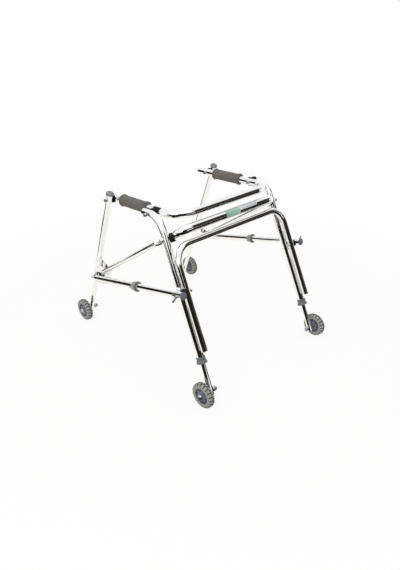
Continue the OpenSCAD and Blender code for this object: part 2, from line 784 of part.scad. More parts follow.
// Moulded saddles that space the tubes: each is hollowed to the tube it grips,
// and flat where another tube turns against it
module handle_saddles() {
    inner = handle_x + handle_d / 2 - saddle_wrap;
    flat = front_x(front_cross) - front_d / 2 - saddle_d * tan(front_splay) / 2 - slide_fit;
    color("black") both() difference() {
        cross_rod(front_bolt, inner, flat, saddle_d);
        handle_solid(fit / 2);
        bolt_hole(front_bolt);
    }
}
module rail_saddle() {
    inner = handle_x + handle_d / 2 + slide_fit;
    outer = rail_x - rear_d / 2 + saddle_wrap;
    difference() {
        cross_rod(rail_bolt, inner, outer, saddle_d);
        rear_leg_axis() translate([0, 0, rear_bottom])
            bent_rod(rail_straight, rail_bend_r, rail_turn, 2 * rail_stub, rear_d + fit);
        bolt_hole(rail_bolt);
    }
}
module back_bar_saddle() {
    inner = bow_x + bow_d / 2 - saddle_wrap;
    outer = rear_x(bow_at) - rear_d / 2 + saddle_wrap;
    difference() {
        cross_rod(bow_bolt, inner, outer, saddle_d);
        translate([bow_x, bow_bolt[0], bow_bolt[1]]) rotate([-90 - bow_tilt, 0, 0])
            translate([0, 0, -saddle_d]) cylinder(h = 2 * saddle_d, d = bow_d + fit);
        rear_leg_axis() cylinder(h = rear_vertex, d = rear_d + fit);
        bolt_hole(bow_bolt);
    }
}
// A side bar saddle narrows from the rear frame towards the side bar
module side_bar_saddle() {
    inner = rear_x(bar_rear_up) + u_d / 2 - saddle_wrap;
    outer = bar_x - bar_in_d / 2 - slide_fit;
    difference() {
        translate([inner, bar_bolt[0], bar_bolt[1]]) rotate([0, 90, 0]) {
            cylinder(h = (outer - inner) * half_share, d = saddle_d);
            translate([0, 0, (outer - inner) * half_share])
                cylinder(h = (outer - inner) * half_share, d1 = saddle_d, d2 = saddle_tip_d);
        }
        rear_leg_axis() translate([0, -u_offset, 0]) cylinder(h = u_top, d = u_d + fit);
        rear_leg_axis() cylinder(h = u_top, d = rear_d + fit);
        bolt_hole(bar_bolt);
    }
}
module frame_saddles() {
    color("black") both() {
        rail_saddle();
        back_bar_saddle();
        side_bar_saddle();
    }
}

// Bolts: [centre, face under the head, face under the nut]
FRONT_CLAMP = [front_bolt, handle_x - handle_d / 2, front_x(front_cross) + front_d / 2];
RAIL_CLAMP = [rail_bolt, handle_x - handle_d / 2, rail_x + rear_d / 2];
BOW_CLAMP = [bow_bolt, bow_x - bow_d / 2, tongue_out];
BAR_CLAMP = [bar_bolt, rear_x(bar_rear_up) - u_d / 2, bar_x + bar_in_d / 2];
BAR_FRONT_CLAMP = [
    bar_front, front_x(bracket_low) - bracket_out - fit, tongue_out + slide_fit + washer_t
];
BRACE_CLAMP = [brace_bolt, tongue_out, front_x(bracket_high) - bracket_out - fit];
module bolt(c) {
    way = sign(c[2] - c[1]);
    head = c[1] - way * slide_fit;
    tip = c[2] + way * (slide_fit + nut_h + bolt_end);
    cross_rod(c[0], min(head, tip), max(head, tip), bolt_d);
    cross_hex(c[0], min(head, head - way * head_h), max(head, head - way * head_h), hex_af);
}
module nut(c) {
    way = sign(c[2] - c[1]);
    face = c[2] + way * slide_fit;
    difference() {
        cross_hex(c[0], min(face, face + way * nut_h), max(face, face + way * nut_h), hex_af);
        bolt_hole(c[0]);
    }
}
module handle_bolts() {
    color("silver") both() {
        bolt(FRONT_CLAMP);
        nut(FRONT_CLAMP);
    }
}
module frame_bolts() {
    color("silver") both() {
        for (c = [RAIL_CLAMP, BOW_CLAMP, BAR_CLAMP]) bolt(c);
        for (c = [RAIL_CLAMP, BOW_CLAMP]) nut(c);
    }
}
// Bolts of one corner bracket, with a wide washer over the side bar's hole
module bracket_bolts() {
    color("silver") {
        for (c = [BAR_FRONT_CLAMP, BRACE_CLAMP]) {
            bolt(c);
            nut(c);
        }
        difference() {
            cross_rod(bar_front, tongue_out + slide_fit, tongue_out + slide_fit + washer_t, washer_d);
            bolt_hole(bar_front);
        }
    }
}
module wing_outline() {
    polygon([
        [-hex_af / 2, -nut_h], [hex_af / 2, -nut_h], [wing_span / 2, wing_h / 2],
        [wing_span / 2, wing_h], [wing_span / 3, wing_h], [bolt_d / 2, 0], [-bolt_d / 2, 0],
        [-wing_span / 3, wing_h], [-wing_span / 2, wing_h], [-wing_span / 2, wing_h / 2]
    ]);
}
module wing_nuts() {
    color("silver") both() difference() {
        translate([BAR_CLAMP[2] + slide_fit, bar_bolt[0], bar_bolt[1]]) rotate([0, 90, 0]) {
            cylinder(h = nut_h, d = hex_af);
            translate([0, head_h / 4, nut_h]) rotate([90, 0, 0])
                linear_extrude(height = head_h / 2) wing_outline();
        }
        bolt_hole(bar_bolt);
    }
}

// Wheel on its own axis: X is the axle
module wheel_at(foot_x, y) {
    translate([foot_x + wheel_offset, y, axle_z]) rotate([0, 90, 0]) children();
}
// Tyre with round shoulders and a ring of tread blocks
module tyre_section() {
    shoulder = (wheel_d - hub_d) / 4;
    seat = (hub_d + fit) / 2;
    translate([seat, -tyre_w / 2]) square([wheel_d / 2 - shoulder - seat, tyre_w]);
    translate([seat, shoulder - tyre_w / 2]) square([wheel_d / 2 - seat, tyre_w - 2 * shoulder]);
    for (s = [-1, 1])
        translate([wheel_d / 2 - shoulder, s * (tyre_w / 2 - shoulder)]) circle(r = shoulder);
}
module tyre() {
    color("gray") difference() {
        rotate_extrude() tyre_section();
        for (i = [0 : treads - 1]) rotate([0, 0, i * 360 / treads])
            translate([wheel_d / 2 - tread_deep, -tread_gap / 2, -tyre_w])
                cube([tread_deep + over, tread_gap, 2 * tyre_w]);
    }
}
// Hub with a rim, a thin web and a long boss
module hub() {
    color("dimgray") difference() {
        union() {
            translate([0, 0, -hub_w / 2]) cylinder(h = hub_w, d = hub_d);
            translate([0, 0, -hub_boss_len / 2]) cylinder(h = hub_boss_len, d = hub_boss_d);
        }
        for (s = [0, 1]) mirror([0, 0, s]) translate([0, 0, hub_web / 2]) difference() {
            cylinder(h = hub_boss_len, d = hub_d - hub_web);
            translate([0, 0, -over]) cylinder(h = hub_boss_len + 2 * over, d = hub_boss_d);
        }
        translate([0, 0, -hub_boss_len]) cylinder(h = 2 * hub_boss_len, d = axle_d + 2 * run_fit);
    }
}
// Axle: a bolt, a spacer hollowed to the leg, and a nut on the inner side
module axle(foot_x, y, lean, splay) {
    hub_in = wheel_offset - hub_boss_len / 2 - slide_fit;
    hub_out = wheel_offset + hub_boss_len / 2 + slide_fit;
    nut_at = ext_d / 2 + 2 * fit;
    axle_af = axle_d * hex_af / bolt_d;
    color("silver") translate([foot_x, y, axle_z]) rotate([0, 90, 0]) {
        translate([0, 0, -nut_at - nut_h - axle_end])
            cylinder(h = hub_out + nut_at + nut_h + axle_end, d = axle_d);
        translate([0, 0, hub_out]) cylinder(h = head_h, d = axle_af / cos(30), $fn = 6);
        translate([0, 0, -nut_at - nut_h]) difference() {
            cylinder(h = nut_h, d = axle_af / cos(30), $fn = 6);
            translate([0, 0, -over]) cylinder(h = nut_h + 2 * over, d = axle_d + fit);
        }
    }
    color("gray") translate([foot_x, y, axle_z]) difference() {
        rotate([0, 90, 0]) cylinder(h = hub_in, d = ext_d);
        rotate([0, 90, 0]) translate([0, 0, -over]) cylinder(h = hub_in + 2 * over, d = axle_d + fit);
        rotate([lean, 0, 0]) rotate([0, -splay, 0]) translate([0, 0, -ext_d])
            cylinder(h = 2 * ext_d, d = ext_d + fit);
    }
}

module grip_right() { grip(); }
module grip_left() { left() grip(); }
module rear_leg_right() { rear_leg(); }
module rear_leg_left() { left() rear_leg(); }
module rear_collars() { both() rear_collar(); }
module rear_extension_right() { rear_extension(); }
module rear_extension_left() { left() rear_extension(); }
module rear_button_right() { rear_button(); }
module rear_button_left() { left() rear_button(); }
module rear_spring_right() { rear_spring(); }
module rear_spring_left() { left() rear_spring(); }
module front_leg_right() { front_leg(); }
module front_leg_left() { left() front_leg(); }
module front_cap_right() { front_cap(); }
module front_cap_left() { left() front_cap(); }
module front_extension_right() { front_extension(); }
module front_extension_left() { left() front_extension(); }
module front_button_right() { front_button(); }
module front_button_left() { left() front_button(); }
module front_spring_right() { front_spring(); }
module front_spring_left() { left() front_spring(); }
module corner_bracket_right() { corner_bracket(); }
module corner_bracket_left() { left() corner_bracket(); }
module side_bar_right() { side_bar(); }
module side_bar_left() { left() side_bar(); }
module side_bar_rear_right() { side_bar_rear(); }
module side_bar_rear_left() { left() side_bar_rear(); }
module bar_collar_right() { bar_collar(); }
module bar_collar_left() { left() bar_collar(); }
module bar_cap_right() { bar_cap(); }
module bar_cap_left() { left() bar_cap(); }
module bar_button_right() { bar_button(); }
module bar_button_left() { left() bar_button(); }
module bar_spring_right() { bar_spring(); }
module bar_spring_left() { left() bar_spring(); }
module bracket_bolts_right() { bracket_bolts(); }
module bracket_bolts_left() { left() bracket_bolts(); }
module brace_right() { brace(); }
module brace_left() { left() brace(); }
module tyre_rear_right() { wheel_at(rear_foot_x, rear_y) tyre(); }
module tyre_rear_left() { left() wheel_at(rear_foot_x, rear_y) tyre(); }
module tyre_front_right() { wheel_at(front_foot_x, front_y) tyre(); }
module tyre_front_left() { left() wheel_at(front_foot_x, front_y) tyre(); }
module hub_rear_right() { wheel_at(rear_foot_x, rear_y) hub(); }
module hub_rear_left() { left() wheel_at(rear_foot_x, rear_y) hub(); }
module hub_front_right() { wheel_at(front_foot_x, front_y) hub(); }
module hub_front_left() { left() wheel_at(front_foot_x, front_y) hub(); }
module axle_rear_right() { axle(rear_foot_x, rear_y, -rear_lean, rear_splay); }
module axle_rear_left() { left() axle(rear_foot_x, rear_y, -rear_lean, rear_splay); }
module axle_front_right() { axle(front_foot_x, front_y, front_lean, front_splay); }
module axle_front_left() { left() axle(front_foot_x, front_y, front_lean, front_splay); }

handle_tube();
grip_left();
grip_right();
back_bar();
rear_frame();
rear_frame_pads();
rear_leg_left();
rear_leg_right();
rear_collars();
rear_extension_left();
rear_extension_right();
rear_button_left();
rear_button_right();
rear_spring_left();
rear_spring_right();
front_leg_left();
front_leg_right();
front_cap_left();
front_cap_right();
front_extension_left();
front_extension_right();
front_button_left();
front_button_right();
front_spring_left();
front_spring_right();
corner_bracket_left();
corner_bracket_right();
side_bar_left();
side_bar_right();
side_bar_rear_left();
side_bar_rear_right();
bar_collar_left();
bar_collar_right();
bar_cap_left();
bar_cap_right();
bar_button_left();
bar_button_right();
bar_spring_left();
bar_spring_right();
brace_left();
brace_right();
handle_saddles();
frame_saddles();
handle_bolts();
bracket_bolts_left();
bracket_bolts_right();
frame_bolts();
wing_nuts();
tyre_rear_left();
tyre_rear_right();
tyre_front_left();
tyre_front_right();
hub_rear_left();
hub_rear_right();
hub_front_left();
hub_front_right();
axle_rear_left();
axle_rear_right();
axle_front_left();
axle_front_right();
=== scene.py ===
# %% [markdown]
# # A child's posterior walker in chromed tube
# The construction is already modelled to size, so this lesson dresses it: a camera that stands
# where the photographer stood, a bright studio, and one finish for every real material. Pieces
# that need finer forms than their solids have, such as tyres, saddles, pressed tube ends and foam
# grips, are made here as meshes. The scene is in metres, with +Y pointing out of the open front of
# the walker and the floor at zero height. Sizes of pieces are written in millimetres.

# %% Load the frame
import json
import math

import bmesh
import bpy
from mathutils import Matrix, Vector, noise


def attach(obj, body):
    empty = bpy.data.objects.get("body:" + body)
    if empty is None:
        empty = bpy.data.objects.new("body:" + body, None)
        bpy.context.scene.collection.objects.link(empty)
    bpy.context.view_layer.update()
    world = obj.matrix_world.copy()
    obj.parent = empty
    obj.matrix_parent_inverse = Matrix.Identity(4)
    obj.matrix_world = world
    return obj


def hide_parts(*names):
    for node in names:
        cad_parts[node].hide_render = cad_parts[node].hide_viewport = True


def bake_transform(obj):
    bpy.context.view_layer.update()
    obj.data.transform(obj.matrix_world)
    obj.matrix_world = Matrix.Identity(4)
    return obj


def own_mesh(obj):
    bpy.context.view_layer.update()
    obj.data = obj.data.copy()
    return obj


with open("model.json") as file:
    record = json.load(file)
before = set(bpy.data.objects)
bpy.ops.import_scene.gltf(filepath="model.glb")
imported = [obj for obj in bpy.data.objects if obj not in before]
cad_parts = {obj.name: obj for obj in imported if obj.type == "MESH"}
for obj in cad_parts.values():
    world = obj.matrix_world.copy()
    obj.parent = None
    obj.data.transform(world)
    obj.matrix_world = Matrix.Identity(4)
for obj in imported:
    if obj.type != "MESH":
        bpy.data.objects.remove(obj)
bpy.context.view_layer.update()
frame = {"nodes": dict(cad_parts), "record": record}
MM = 0.001
BODY_OF = {
    node: body
    for body, nodes in frame["record"]["behaviour"]["bodies"].items()
    for node in nodes
}

# %% [markdown]
# ## Camera
# A photograph can be turned back into a camera when the object has known parallels: here the
# crossbars, the rear legs and the four wheels on one floor. That fit gives the place, the two
# angles in degrees and the focal length below. Blender's 36 mm sensor lies along the longer image
# side, so the focal length in pixels times 36 over 570 is the lens in millimetres.

# %% Camera
PHOTO_HEIGHT_PX = 570
FOCAL_PX = 511.78
SENSOR_MM = 36.0
CAMERA_PLACE = (-1.00993, -1.08795, 0.98853)
LOOKS_DOWN, TURNED_RIGHT = 29.05, 43.37


def placed(name, data):
    """An object in the scene."""
    obj = bpy.data.objects.new(name, data)
    bpy.context.scene.collection.objects.link(obj)
    return obj


camera_data = bpy.data.cameras.new("photo_camera")
camera_data.sensor_width = SENSOR_MM
camera_data.lens = FOCAL_PX * SENSOR_MM / PHOTO_HEIGHT_PX
camera = placed("photo_camera", camera_data)
camera.location = CAMERA_PLACE
camera.rotation_euler = (math.radians(90 - LOOKS_DOWN), 0, math.radians(-TURNED_RIGHT))
bpy.context.scene.camera = camera
print("lens:", round(camera_data.lens, 2), "mm")

# %% [markdown]
# ## Helpers for finishes
# Colours are written as the sRGB hex values that a picture editor shows, and Blender's shaders
# want linear light, so one function converts them. Another adds a node, sets its values and joins
# it to the nodes before it, which keeps each finish as short as a recipe. Two more start an empty
# material and turn a real size into a texture scale.

# %% Colour and node helpers
def linear(hex_colour):
    """sRGB hex to linear RGBA."""
    channels = [int(hex_colour[i:i + 2], 16) / 255 for i in (1, 3, 5)]
    return [c / 12.92 if c <= 0.04045 else ((c + 0.055) / 1.055) ** 2.4 for c in channels] + [1.0]


def add(tree, kind, settings=(), links=()):
    """Adds a node. Settings are its properties, sockets or ramp stops; links join its sockets."""
    node = tree.nodes.new(kind)
    for name, value in dict(settings).items():
        if name == "stops":
            elements = node.color_ramp.elements
            while len(elements) < len(value):
                elements.new(0.5)
            for element, (place, colour) in zip(elements, value):
                element.position = place
                element.color = linear(colour)
        elif isinstance(name, str) and hasattr(node, name):
            setattr(node, name, value)
        else:
            node.inputs[name].default_value = value
    for name, source in dict(links).items():
        tree.links.new(source, node.inputs[name])
    return node


def new_finish(name):
    """An empty material and its tree."""
    material = bpy.data.materials.new(name)
    material.use_nodes = True
    material.node_tree.nodes.clear()
    return material, material.node_tree


def per_metre(size_mm):
    """Texture scale that gives one pattern cell per size_mm."""
    return 1 / (size_mm * MM)


print("chrome white in linear light:", [round(c, 3) for c in linear("#f3f4f4")])

# %% [markdown]
# ## Studio
# Chrome shows nothing but its surroundings, so they are built as they stood in the photographer's
# room. The walker stands on a white paper sweep under a white ceiling, and the sweep ends at the
# rear wheels. On the camera's side the room is dark: bare floor, and walls to a little above eye
# height. The camera is never shown that dark side, but every tube is, and draws it as the black
# lines that make chrome read as chrome.
#
# The paper could be lit until it turns white, but then the walker would be lit too much. So it
# glows white for the camera and for reflections, and a small share of matte paper near the walker
# keeps a faint shadow.

# %% White paper sweep
FLOOR_HALF = 8.0
SHADOW_RADIUS, SWEEP_RADIUS = 0.7, 1.6
GLOW_NEAR_WALKER = 0.9
PAPER_IN_CHROME = 1.1


def stage_mesh(name, verts, faces, material):
    """A mesh of the set, which is no part of the walker."""
    mesh = bpy.data.meshes.new(name)
    mesh.from_pydata(verts, [], faces)
    mesh.materials.append(material)
    obj = placed(name, mesh)
    return obj


def shown_rays(tree):
    """Is 1 for rays from the camera, a mirror or glass, and 0 for those that gather light."""
    path = add(tree, "ShaderNodeLightPath").outputs
    shown = add(tree, "ShaderNodeMath", {"operation": "MAXIMUM"},
                {0: path["Is Camera Ray"], 1: path["Is Glossy Ray"]})
    shown = add(tree, "ShaderNodeMath", {"operation": "MAXIMUM"},
                {0: shown.outputs[0], 1: path["Is Transmission Ray"]})
    return shown.outputs[0]


paper, tree = new_finish("white_paper_sweep")
where = add(tree, "ShaderNodeTexCoord").outputs["Object"]
far = add(tree, "ShaderNodeVectorMath", {"operation": "LENGTH"}, {0: where})
share = add(tree, "ShaderNodeMapRange",
            {"From Min": SHADOW_RADIUS, "From Max": SWEEP_RADIUS,
             "To Min": GLOW_NEAR_WALKER, "To Max": 1.0},
            {"Value": far.outputs["Value"]})
share = add(tree, "ShaderNodeMath", {"operation": "MULTIPLY"},
            {0: share.outputs[0], 1: shown_rays(tree)})
matte = add(tree, "ShaderNodeBsdfDiffuse", {"Color": linear("#f4f2ee")})
white = add(tree, "ShaderNodeEmission", {"Color": linear("#ffffff"), "Strength": 1.0})
warm = add(tree, "ShaderNodeEmission", {"Color": linear("#fefaf3"), "Strength": PAPER_IN_CHROME})
in_chrome = add(tree, "ShaderNodeLightPath").outputs["Is Glossy Ray"]
glow = add(tree, "ShaderNodeMixShader",
           links={0: in_chrome, 1: white.outputs[0], 2: warm.outputs[0]})
mixed = add(tree, "ShaderNodeMixShader",
            links={0: share.outputs[0], 1: matte.outputs[0], 2: glow.outputs[0]})
add(tree, "ShaderNodeOutputMaterial", links={"Surface": mixed.outputs[0]})
corners = [(x * FLOOR_HALF, y * FLOOR_HALF, 0) for x, y in ((-1, -1), (1, -1), (1, 1), (-1, 1))]
stage_mesh("floor", corners, [(0, 1, 2, 3)], paper)
print("sweep:", 2 * FLOOR_HALF, "m square")

# %% [markdown]
# The dark side of the room is a set of cards: the bare floor beyond the sweep's edge, a black
# flag laid in front, and stretches of wall. Each wall stands between two bearings, counted from
# +X towards +Y, and from a low to a high angle seen from the middle of the walker, so the table
# reads like a sketch of the room. A picture of a studio wrapped round the scene would do as well,
# but cards can be moved one at a time until each dark line lies where it should.

# %% Dark side of the room
ROOM_RADIUS, EYE_HEIGHT, WALL_STEPS = 2.4, 0.3, 16
CARD_LIFT = 1 * MM
UNLIT, DIM = "#211c17", "#3d362f"
WALLS = [
    ("room_left_of_camera", 180, 222, -8, 8, UNLIT),
    ("room_behind_camera", 222, 258, -8, 24, UNLIT),
    ("room_past_camera", 258, 300, 0, 22, DIM),
    ("room_right_of_camera", 300, 320, -8, 42, DIM),
    ("room_high_on_the_right", 320, 336, 18, 40, DIM),
    ("room_beyond_left_front", 105, 140, -6, 26, UNLIT),
]
SWEEP_EDGE = [
    (-1.45, 2.0), (-1.1, 0.45), (-0.9, 0.05), (-0.7, -0.25),
    (0.1, -0.28), (0.7, -0.42), (1.0, -0.65),
]
BARE_FLOOR = SWEEP_EDGE + [
    (3.0, -1.0), (3.0, -1.7), (-0.4, -1.7), (-0.6, -3.0), (-3.0, -3.0), (-3.0, 2.0),
]
FRONT_FLAG = [
    (-1.6, 0.95), (-0.95, 0.78), (-0.6, 0.82), (-0.3, 0.9), (0.5, 0.95),
    (0.5, 1.45), (-0.4, 1.5), (-1.0, 1.6), (-1.6, 2.2),
]


def room_paint(colour):
    """Paint that only shows in reflections, at the brightness it had in the room."""
    paint, tree = new_finish("room_paint_" + colour[1:])
    glow = add(tree, "ShaderNodeEmission", {"Color": linear(colour), "Strength": 1.0})
    add(tree, "ShaderNodeOutputMaterial", links={"Surface": glow.outputs[0]})
    return paint


PAINT = {colour: room_paint(colour) for colour in (UNLIT, DIM)}


def wall_card(name, first, last, low, high, colour):
    """A curved card round the set, between two bearings and two angles of height."""
    turns = [first + (last - first) * i / WALL_STEPS for i in range(WALL_STEPS + 1)]
    bearings = [math.radians(turn) for turn in turns]
    heights = [EYE_HEIGHT + ROOM_RADIUS * math.tan(math.radians(angle)) for angle in (low, high)]
    verts = [(ROOM_RADIUS * math.cos(b), ROOM_RADIUS * math.sin(b), z)
             for z in heights for b in bearings]
    above = WALL_STEPS + 1
    faces = [(i, i + 1, above + i + 1, above + i) for i in range(WALL_STEPS)]
    return stage_mesh(name, verts, faces, PAINT[colour])


def flat_card(name, outline):
    """An unlit card that lies just above the paper."""
    verts = [(x, y, CARD_LIFT) for x, y in outline]
    return stage_mesh(name, verts, [tuple(range(len(verts)))], PAINT[UNLIT])


cards = [wall_card(*row) for row in WALLS]
cards += [flat_card("bare_floor", BARE_FLOOR), flat_card("flag_in_front", FRONT_FLAG)]
for card in cards:
    card.visible_camera = False
    card.visible_diffuse = False
    card.visible_shadow = False
print("cards:", len(cards))

# %% [markdown]
# The ceiling and the upper walls are the world's background. The camera and every mirror see plain
# white there, but as light it has only about half that strength, which leaves the soft boxes
# something to model.

# %% White ceiling
CEILING_LIGHT = 0.55
world = bpy.data.worlds.new("white_studio")
bpy.context.scene.world = world
world.use_nodes = True
tree = world.node_tree
tree.nodes.clear()
soft = add(tree, "ShaderNodeBackground", {"Color": linear("#ffffff"), "Strength": CEILING_LIGHT})
white = add(tree, "ShaderNodeBackground", {"Color": linear("#ffffff"), "Strength": 1.0})
mixed = add(tree, "ShaderNodeMixShader",
            links={0: shown_rays(tree), 1: soft.outputs[0], 2: white.outputs[0]})
add(tree, "ShaderNodeOutputWorld", links={"Surface": mixed.outputs[0]})
bpy.context.scene.view_settings.view_transform = "Standard"
print("ceiling light:", CEILING_LIGHT)

# %% [markdown]
# Two soft boxes light the set: a broad one overhead and a smaller one beside the camera, which
# keeps the sides that face us from going flat.

# %% Lamps
MIDDLE = Vector((0, 0, 0.25))


def soft_box(name, place, size, watts):
    """A square lamp, turned towards the middle of the walker."""
    data = bpy.data.lights.new(name, "AREA")
    data.shape = "SQUARE"
    data.size = size
    data.energy = watts
    lamp = placed(name, data)
    lamp.location = place
    lamp.rotation_euler = (MIDDLE - Vector(place)).to_track_quat("-Z", "Y").to_euler()


soft_box("overhead_soft_box", (-0.3, -0.2, 2.6), size=2.2, watts=24)
soft_box("camera_side_soft_box", (-2.2, -1.2, 1.6), size=1.2, watts=11)

# %% [markdown]
# ## Chrome plated steel tube
# The frame is welded steel tube, drawn to size, polished and plated with nickel and chrome. To
# the eye it is a mirror with a faint cool tint. What keeps it from looking like a computer
# picture is that polishing leaves it very slightly wavy, so a long soft noise bends the
# reflections, and a finer one varies how sharp they are. The zinc plate on bolts and nuts is
# greyer and satin, and tempered spring steel is darker again.

# %% Chrome and the other metals
def metal_finish(name, tint, dark_tint, rough, wave_mm, wave_height_mm, grain_mm):
    """A metal whose tint and gloss vary with its grain and whose surface has low waves."""
    material, tree = new_finish(name)
    where = add(tree, "ShaderNodeTexCoord").outputs["Object"]
    grain = add(tree, "ShaderNodeTexNoise", {"Scale": per_metre(grain_mm), "Detail": 3.0},
                {"Vector": where})
    waves = add(tree, "ShaderNodeTexNoise", {"Scale": per_metre(wave_mm), "Detail": 1.0},
                {"Vector": where})
    colour = add(tree, "ShaderNodeValToRGB", {"stops": [(0.3, dark_tint), (0.7, tint)]},
                 {"Fac": grain.outputs["Fac"]})
    gloss = add(tree, "ShaderNodeMapRange", {"To Min": rough[0], "To Max": rough[1]},
                {"Value": grain.outputs["Fac"]})
    bump = add(tree, "ShaderNodeBump", {"Strength": 1.0, "Distance": wave_height_mm * MM},
               {"Height": waves.outputs["Fac"]})
    shader = add(tree, "ShaderNodeBsdfPrincipled", {"Metallic": 1.0},
                 {"Base Color": colour.outputs[0], "Roughness": gloss.outputs[0],
                  "Normal": bump.outputs[0]})
    add(tree, "ShaderNodeOutputMaterial", links={"Surface": shader.outputs[0]})
    return material


chrome = metal_finish("chrome_plated_steel_tube", "#f3f4f4", "#eaebec", rough=(0.04, 0.09),
                      wave_mm=40, wave_height_mm=0.06, grain_mm=6)
zinc = metal_finish("zinc_plated_steel_fasteners", "#d3d8d6", "#b0b7b3", rough=(0.3, 0.46),
                    wave_mm=6, wave_height_mm=0.05, grain_mm=1.5)
spring_steel = metal_finish("tempered_spring_steel", "#8d9196", "#74787c", rough=(0.25, 0.35),
                            wave_mm=8, wave_height_mm=0.02, grain_mm=2)
print("metals:", chrome.name, zinc.name, spring_steel.name)

# %% [markdown]
# ## Moulded plastics
# The saddles are black nylon, the caps and collars grey polyethylene, and the hubs a dark blue
# grey polypropylene. All come from steel moulds with a spark-eroded grain, so to the eye they are
# satin, and each gets a fine cell pattern in its bump and a slow drift of colour. The real grain
# is about 0.2 mm; it is drawn at 0.8 mm so that it still shows at this distance.

# %% Plastics
GRAIN_MM, GRAIN_DEEP_MM, DRIFT_MM = 0.8, 0.12, 14
ROUGH_SPREAD = 0.06


def moulded_finish(name, light, dark, rough, ior, shine=0.5):
    """A plastic with the grain of its mould and a slow drift between two shades."""
    material, tree = new_finish(name)
    where = add(tree, "ShaderNodeTexCoord").outputs["Object"]
    drift = add(tree, "ShaderNodeTexNoise", {"Scale": per_metre(DRIFT_MM), "Detail": 4.0},
                {"Vector": where})
    grain = add(tree, "ShaderNodeTexNoise", {"Scale": per_metre(GRAIN_MM), "Detail": 2.0},
                {"Vector": where})
    colour = add(tree, "ShaderNodeValToRGB", {"stops": [(0.3, dark), (0.7, light)]},
                 {"Fac": drift.outputs["Fac"]})
    gloss = add(tree, "ShaderNodeMapRange",
                {"To Min": rough - ROUGH_SPREAD, "To Max": rough + ROUGH_SPREAD},
                {"Value": grain.outputs["Fac"]})
    bump = add(tree, "ShaderNodeBump", {"Strength": 0.5, "Distance": GRAIN_DEEP_MM * MM},
               {"Height": grain.outputs["Fac"]})
    shader = add(tree, "ShaderNodeBsdfPrincipled", {"IOR": ior, "Specular IOR Level": shine},
                 {"Base Color": colour.outputs[0], "Roughness": gloss.outputs[0],
                  "Normal": bump.outputs[0]})
    add(tree, "ShaderNodeOutputMaterial", links={"Surface": shader.outputs[0]})
    return material


NYLON_IOR, POLYETHYLENE_IOR, POLYPROPYLENE_IOR = 1.53, 1.51, 1.49
black_nylon = moulded_finish(
    "black_moulded_nylon", "#13120f", "#0b0a08", 0.6, NYLON_IOR, shine=0.2)
cap_grey = moulded_finish(
    "grey_moulded_polyethylene", "#7f8182", "#727475", 0.45, POLYETHYLENE_IOR)
collar_grey = moulded_finish(
    "pale_grey_moulded_polyethylene", "#a6a8a5", "#989a97", 0.42, POLYETHYLENE_IOR)
leg_grey = moulded_finish(
    "slate_grey_moulded_polyethylene", "#737a7c", "#676d6f", 0.42, POLYETHYLENE_IOR)
cap_blue = moulded_finish(
    "blue_grey_moulded_polyethylene", "#71737d", "#656772", 0.42, POLYETHYLENE_IOR)
hub_blue = moulded_finish(
    "blue_grey_moulded_polypropylene", "#7b8091", "#696d7d", 0.28, POLYPROPYLENE_IOR)
print("plastics:", [m.name for m in bpy.data.materials if "moulded" in m.name])

# %% [markdown]
# ## Solid rubber tyres
# The tyres are moulded grey rubber, dull to the eye. Their colour carries painted shade: ambient
# occlusion measures how hidden a point is within a few millimetres, and a ramp on it paints the
# grooves dark and the open block tops and side walls pale. A noise of about 5 mm makes that painted
# shade patchy, and a finer one gives the tooth of the rubber.

# %% Tyre rubber
PATCH_MM, TOOTH_MM, TOOTH_DEEP_MM, PAINTED_SHADE_REACH_MM = 5, 1.4, 0.3, 5
tyre_rubber, tree = new_finish("grey_moulded_tyre_rubber")
where = add(tree, "ShaderNodeTexCoord").outputs["Object"]
patch_noise = add(tree, "ShaderNodeTexNoise", {"Scale": per_metre(PATCH_MM), "Detail": 3.0},
            {"Vector": where})
tooth = add(tree, "ShaderNodeTexNoise", {"Scale": per_metre(TOOTH_MM), "Detail": 3.0},
            {"Vector": where})
# Painted shade: this occlusion finds the grooves, and the ramp below paints them dark.
hidden = add(tree, "ShaderNodeAmbientOcclusion", {"Distance": PAINTED_SHADE_REACH_MM * MM, "samples": 8})
patchy = add(tree, "ShaderNodeMath", {"operation": "MULTIPLY_ADD", 1: 0.5, 2: -0.25},
             {0: patch_noise.outputs["Fac"]})
painted_shade_share = add(tree, "ShaderNodeMath", {"operation": "ADD"},
                 {0: hidden.outputs["AO"], 1: patchy.outputs[0]})
# Painted shade in the ramp: hidden grooves go dark, open block tops and side walls go pale.
colour = add(tree, "ShaderNodeValToRGB",
             {"stops": [(0.4, "#262725"), (0.7, "#616361"), (0.92, "#82847f"), (1.0, "#a6a7a1")]},
             {"Fac": painted_shade_share.outputs[0]})
bump = add(tree, "ShaderNodeBump", {"Strength": 0.6, "Distance": TOOTH_DEEP_MM * MM},
           {"Height": tooth.outputs["Fac"]})
gloss = add(tree, "ShaderNodeMapRange", {"To Min": 0.6, "To Max": 0.85},
            {"Value": tooth.outputs["Fac"]})
shader = add(tree, "ShaderNodeBsdfPrincipled", {"IOR": 1.52},
             {"Base Color": colour.outputs[0], "Roughness": gloss.outputs[0],
              "Normal": bump.outputs[0]})
add(tree, "ShaderNodeOutputMaterial", links={"Surface": shader.outputs[0]})
print("rubber nodes:", len(tree.nodes))

# %% [markdown]
# ## Dress the solids
# Each node of the construction already knows its material slot, so one table turns slots into
# finishes. The collars of the rear legs get a darker, bluer grey than those of the side bars.

# %% Assign the finishes
FINISH = {
    "chrome_tube": chrome,
    "zinc_fastener": zinc,
    "spring_steel": spring_steel,
    "black_saddle": black_nylon,
    "grey_cap": cap_grey,
    "blue_grey_cap": cap_blue,
    "grey_collar": collar_grey,
    "hub": hub_blue,
    "tyre": tyre_rubber,
}
for part in frame["record"]["subparts"]:
    obj = frame["nodes"][part["node"]]
    finish = FINISH.get(part["material_slot"])
    if part["node"].startswith("rear_collar"):
        finish = leg_grey
    if finish:
        if not obj.material_slots:
            obj.data.materials.append(finish)
        for slot in obj.material_slots:
            slot.material = finish

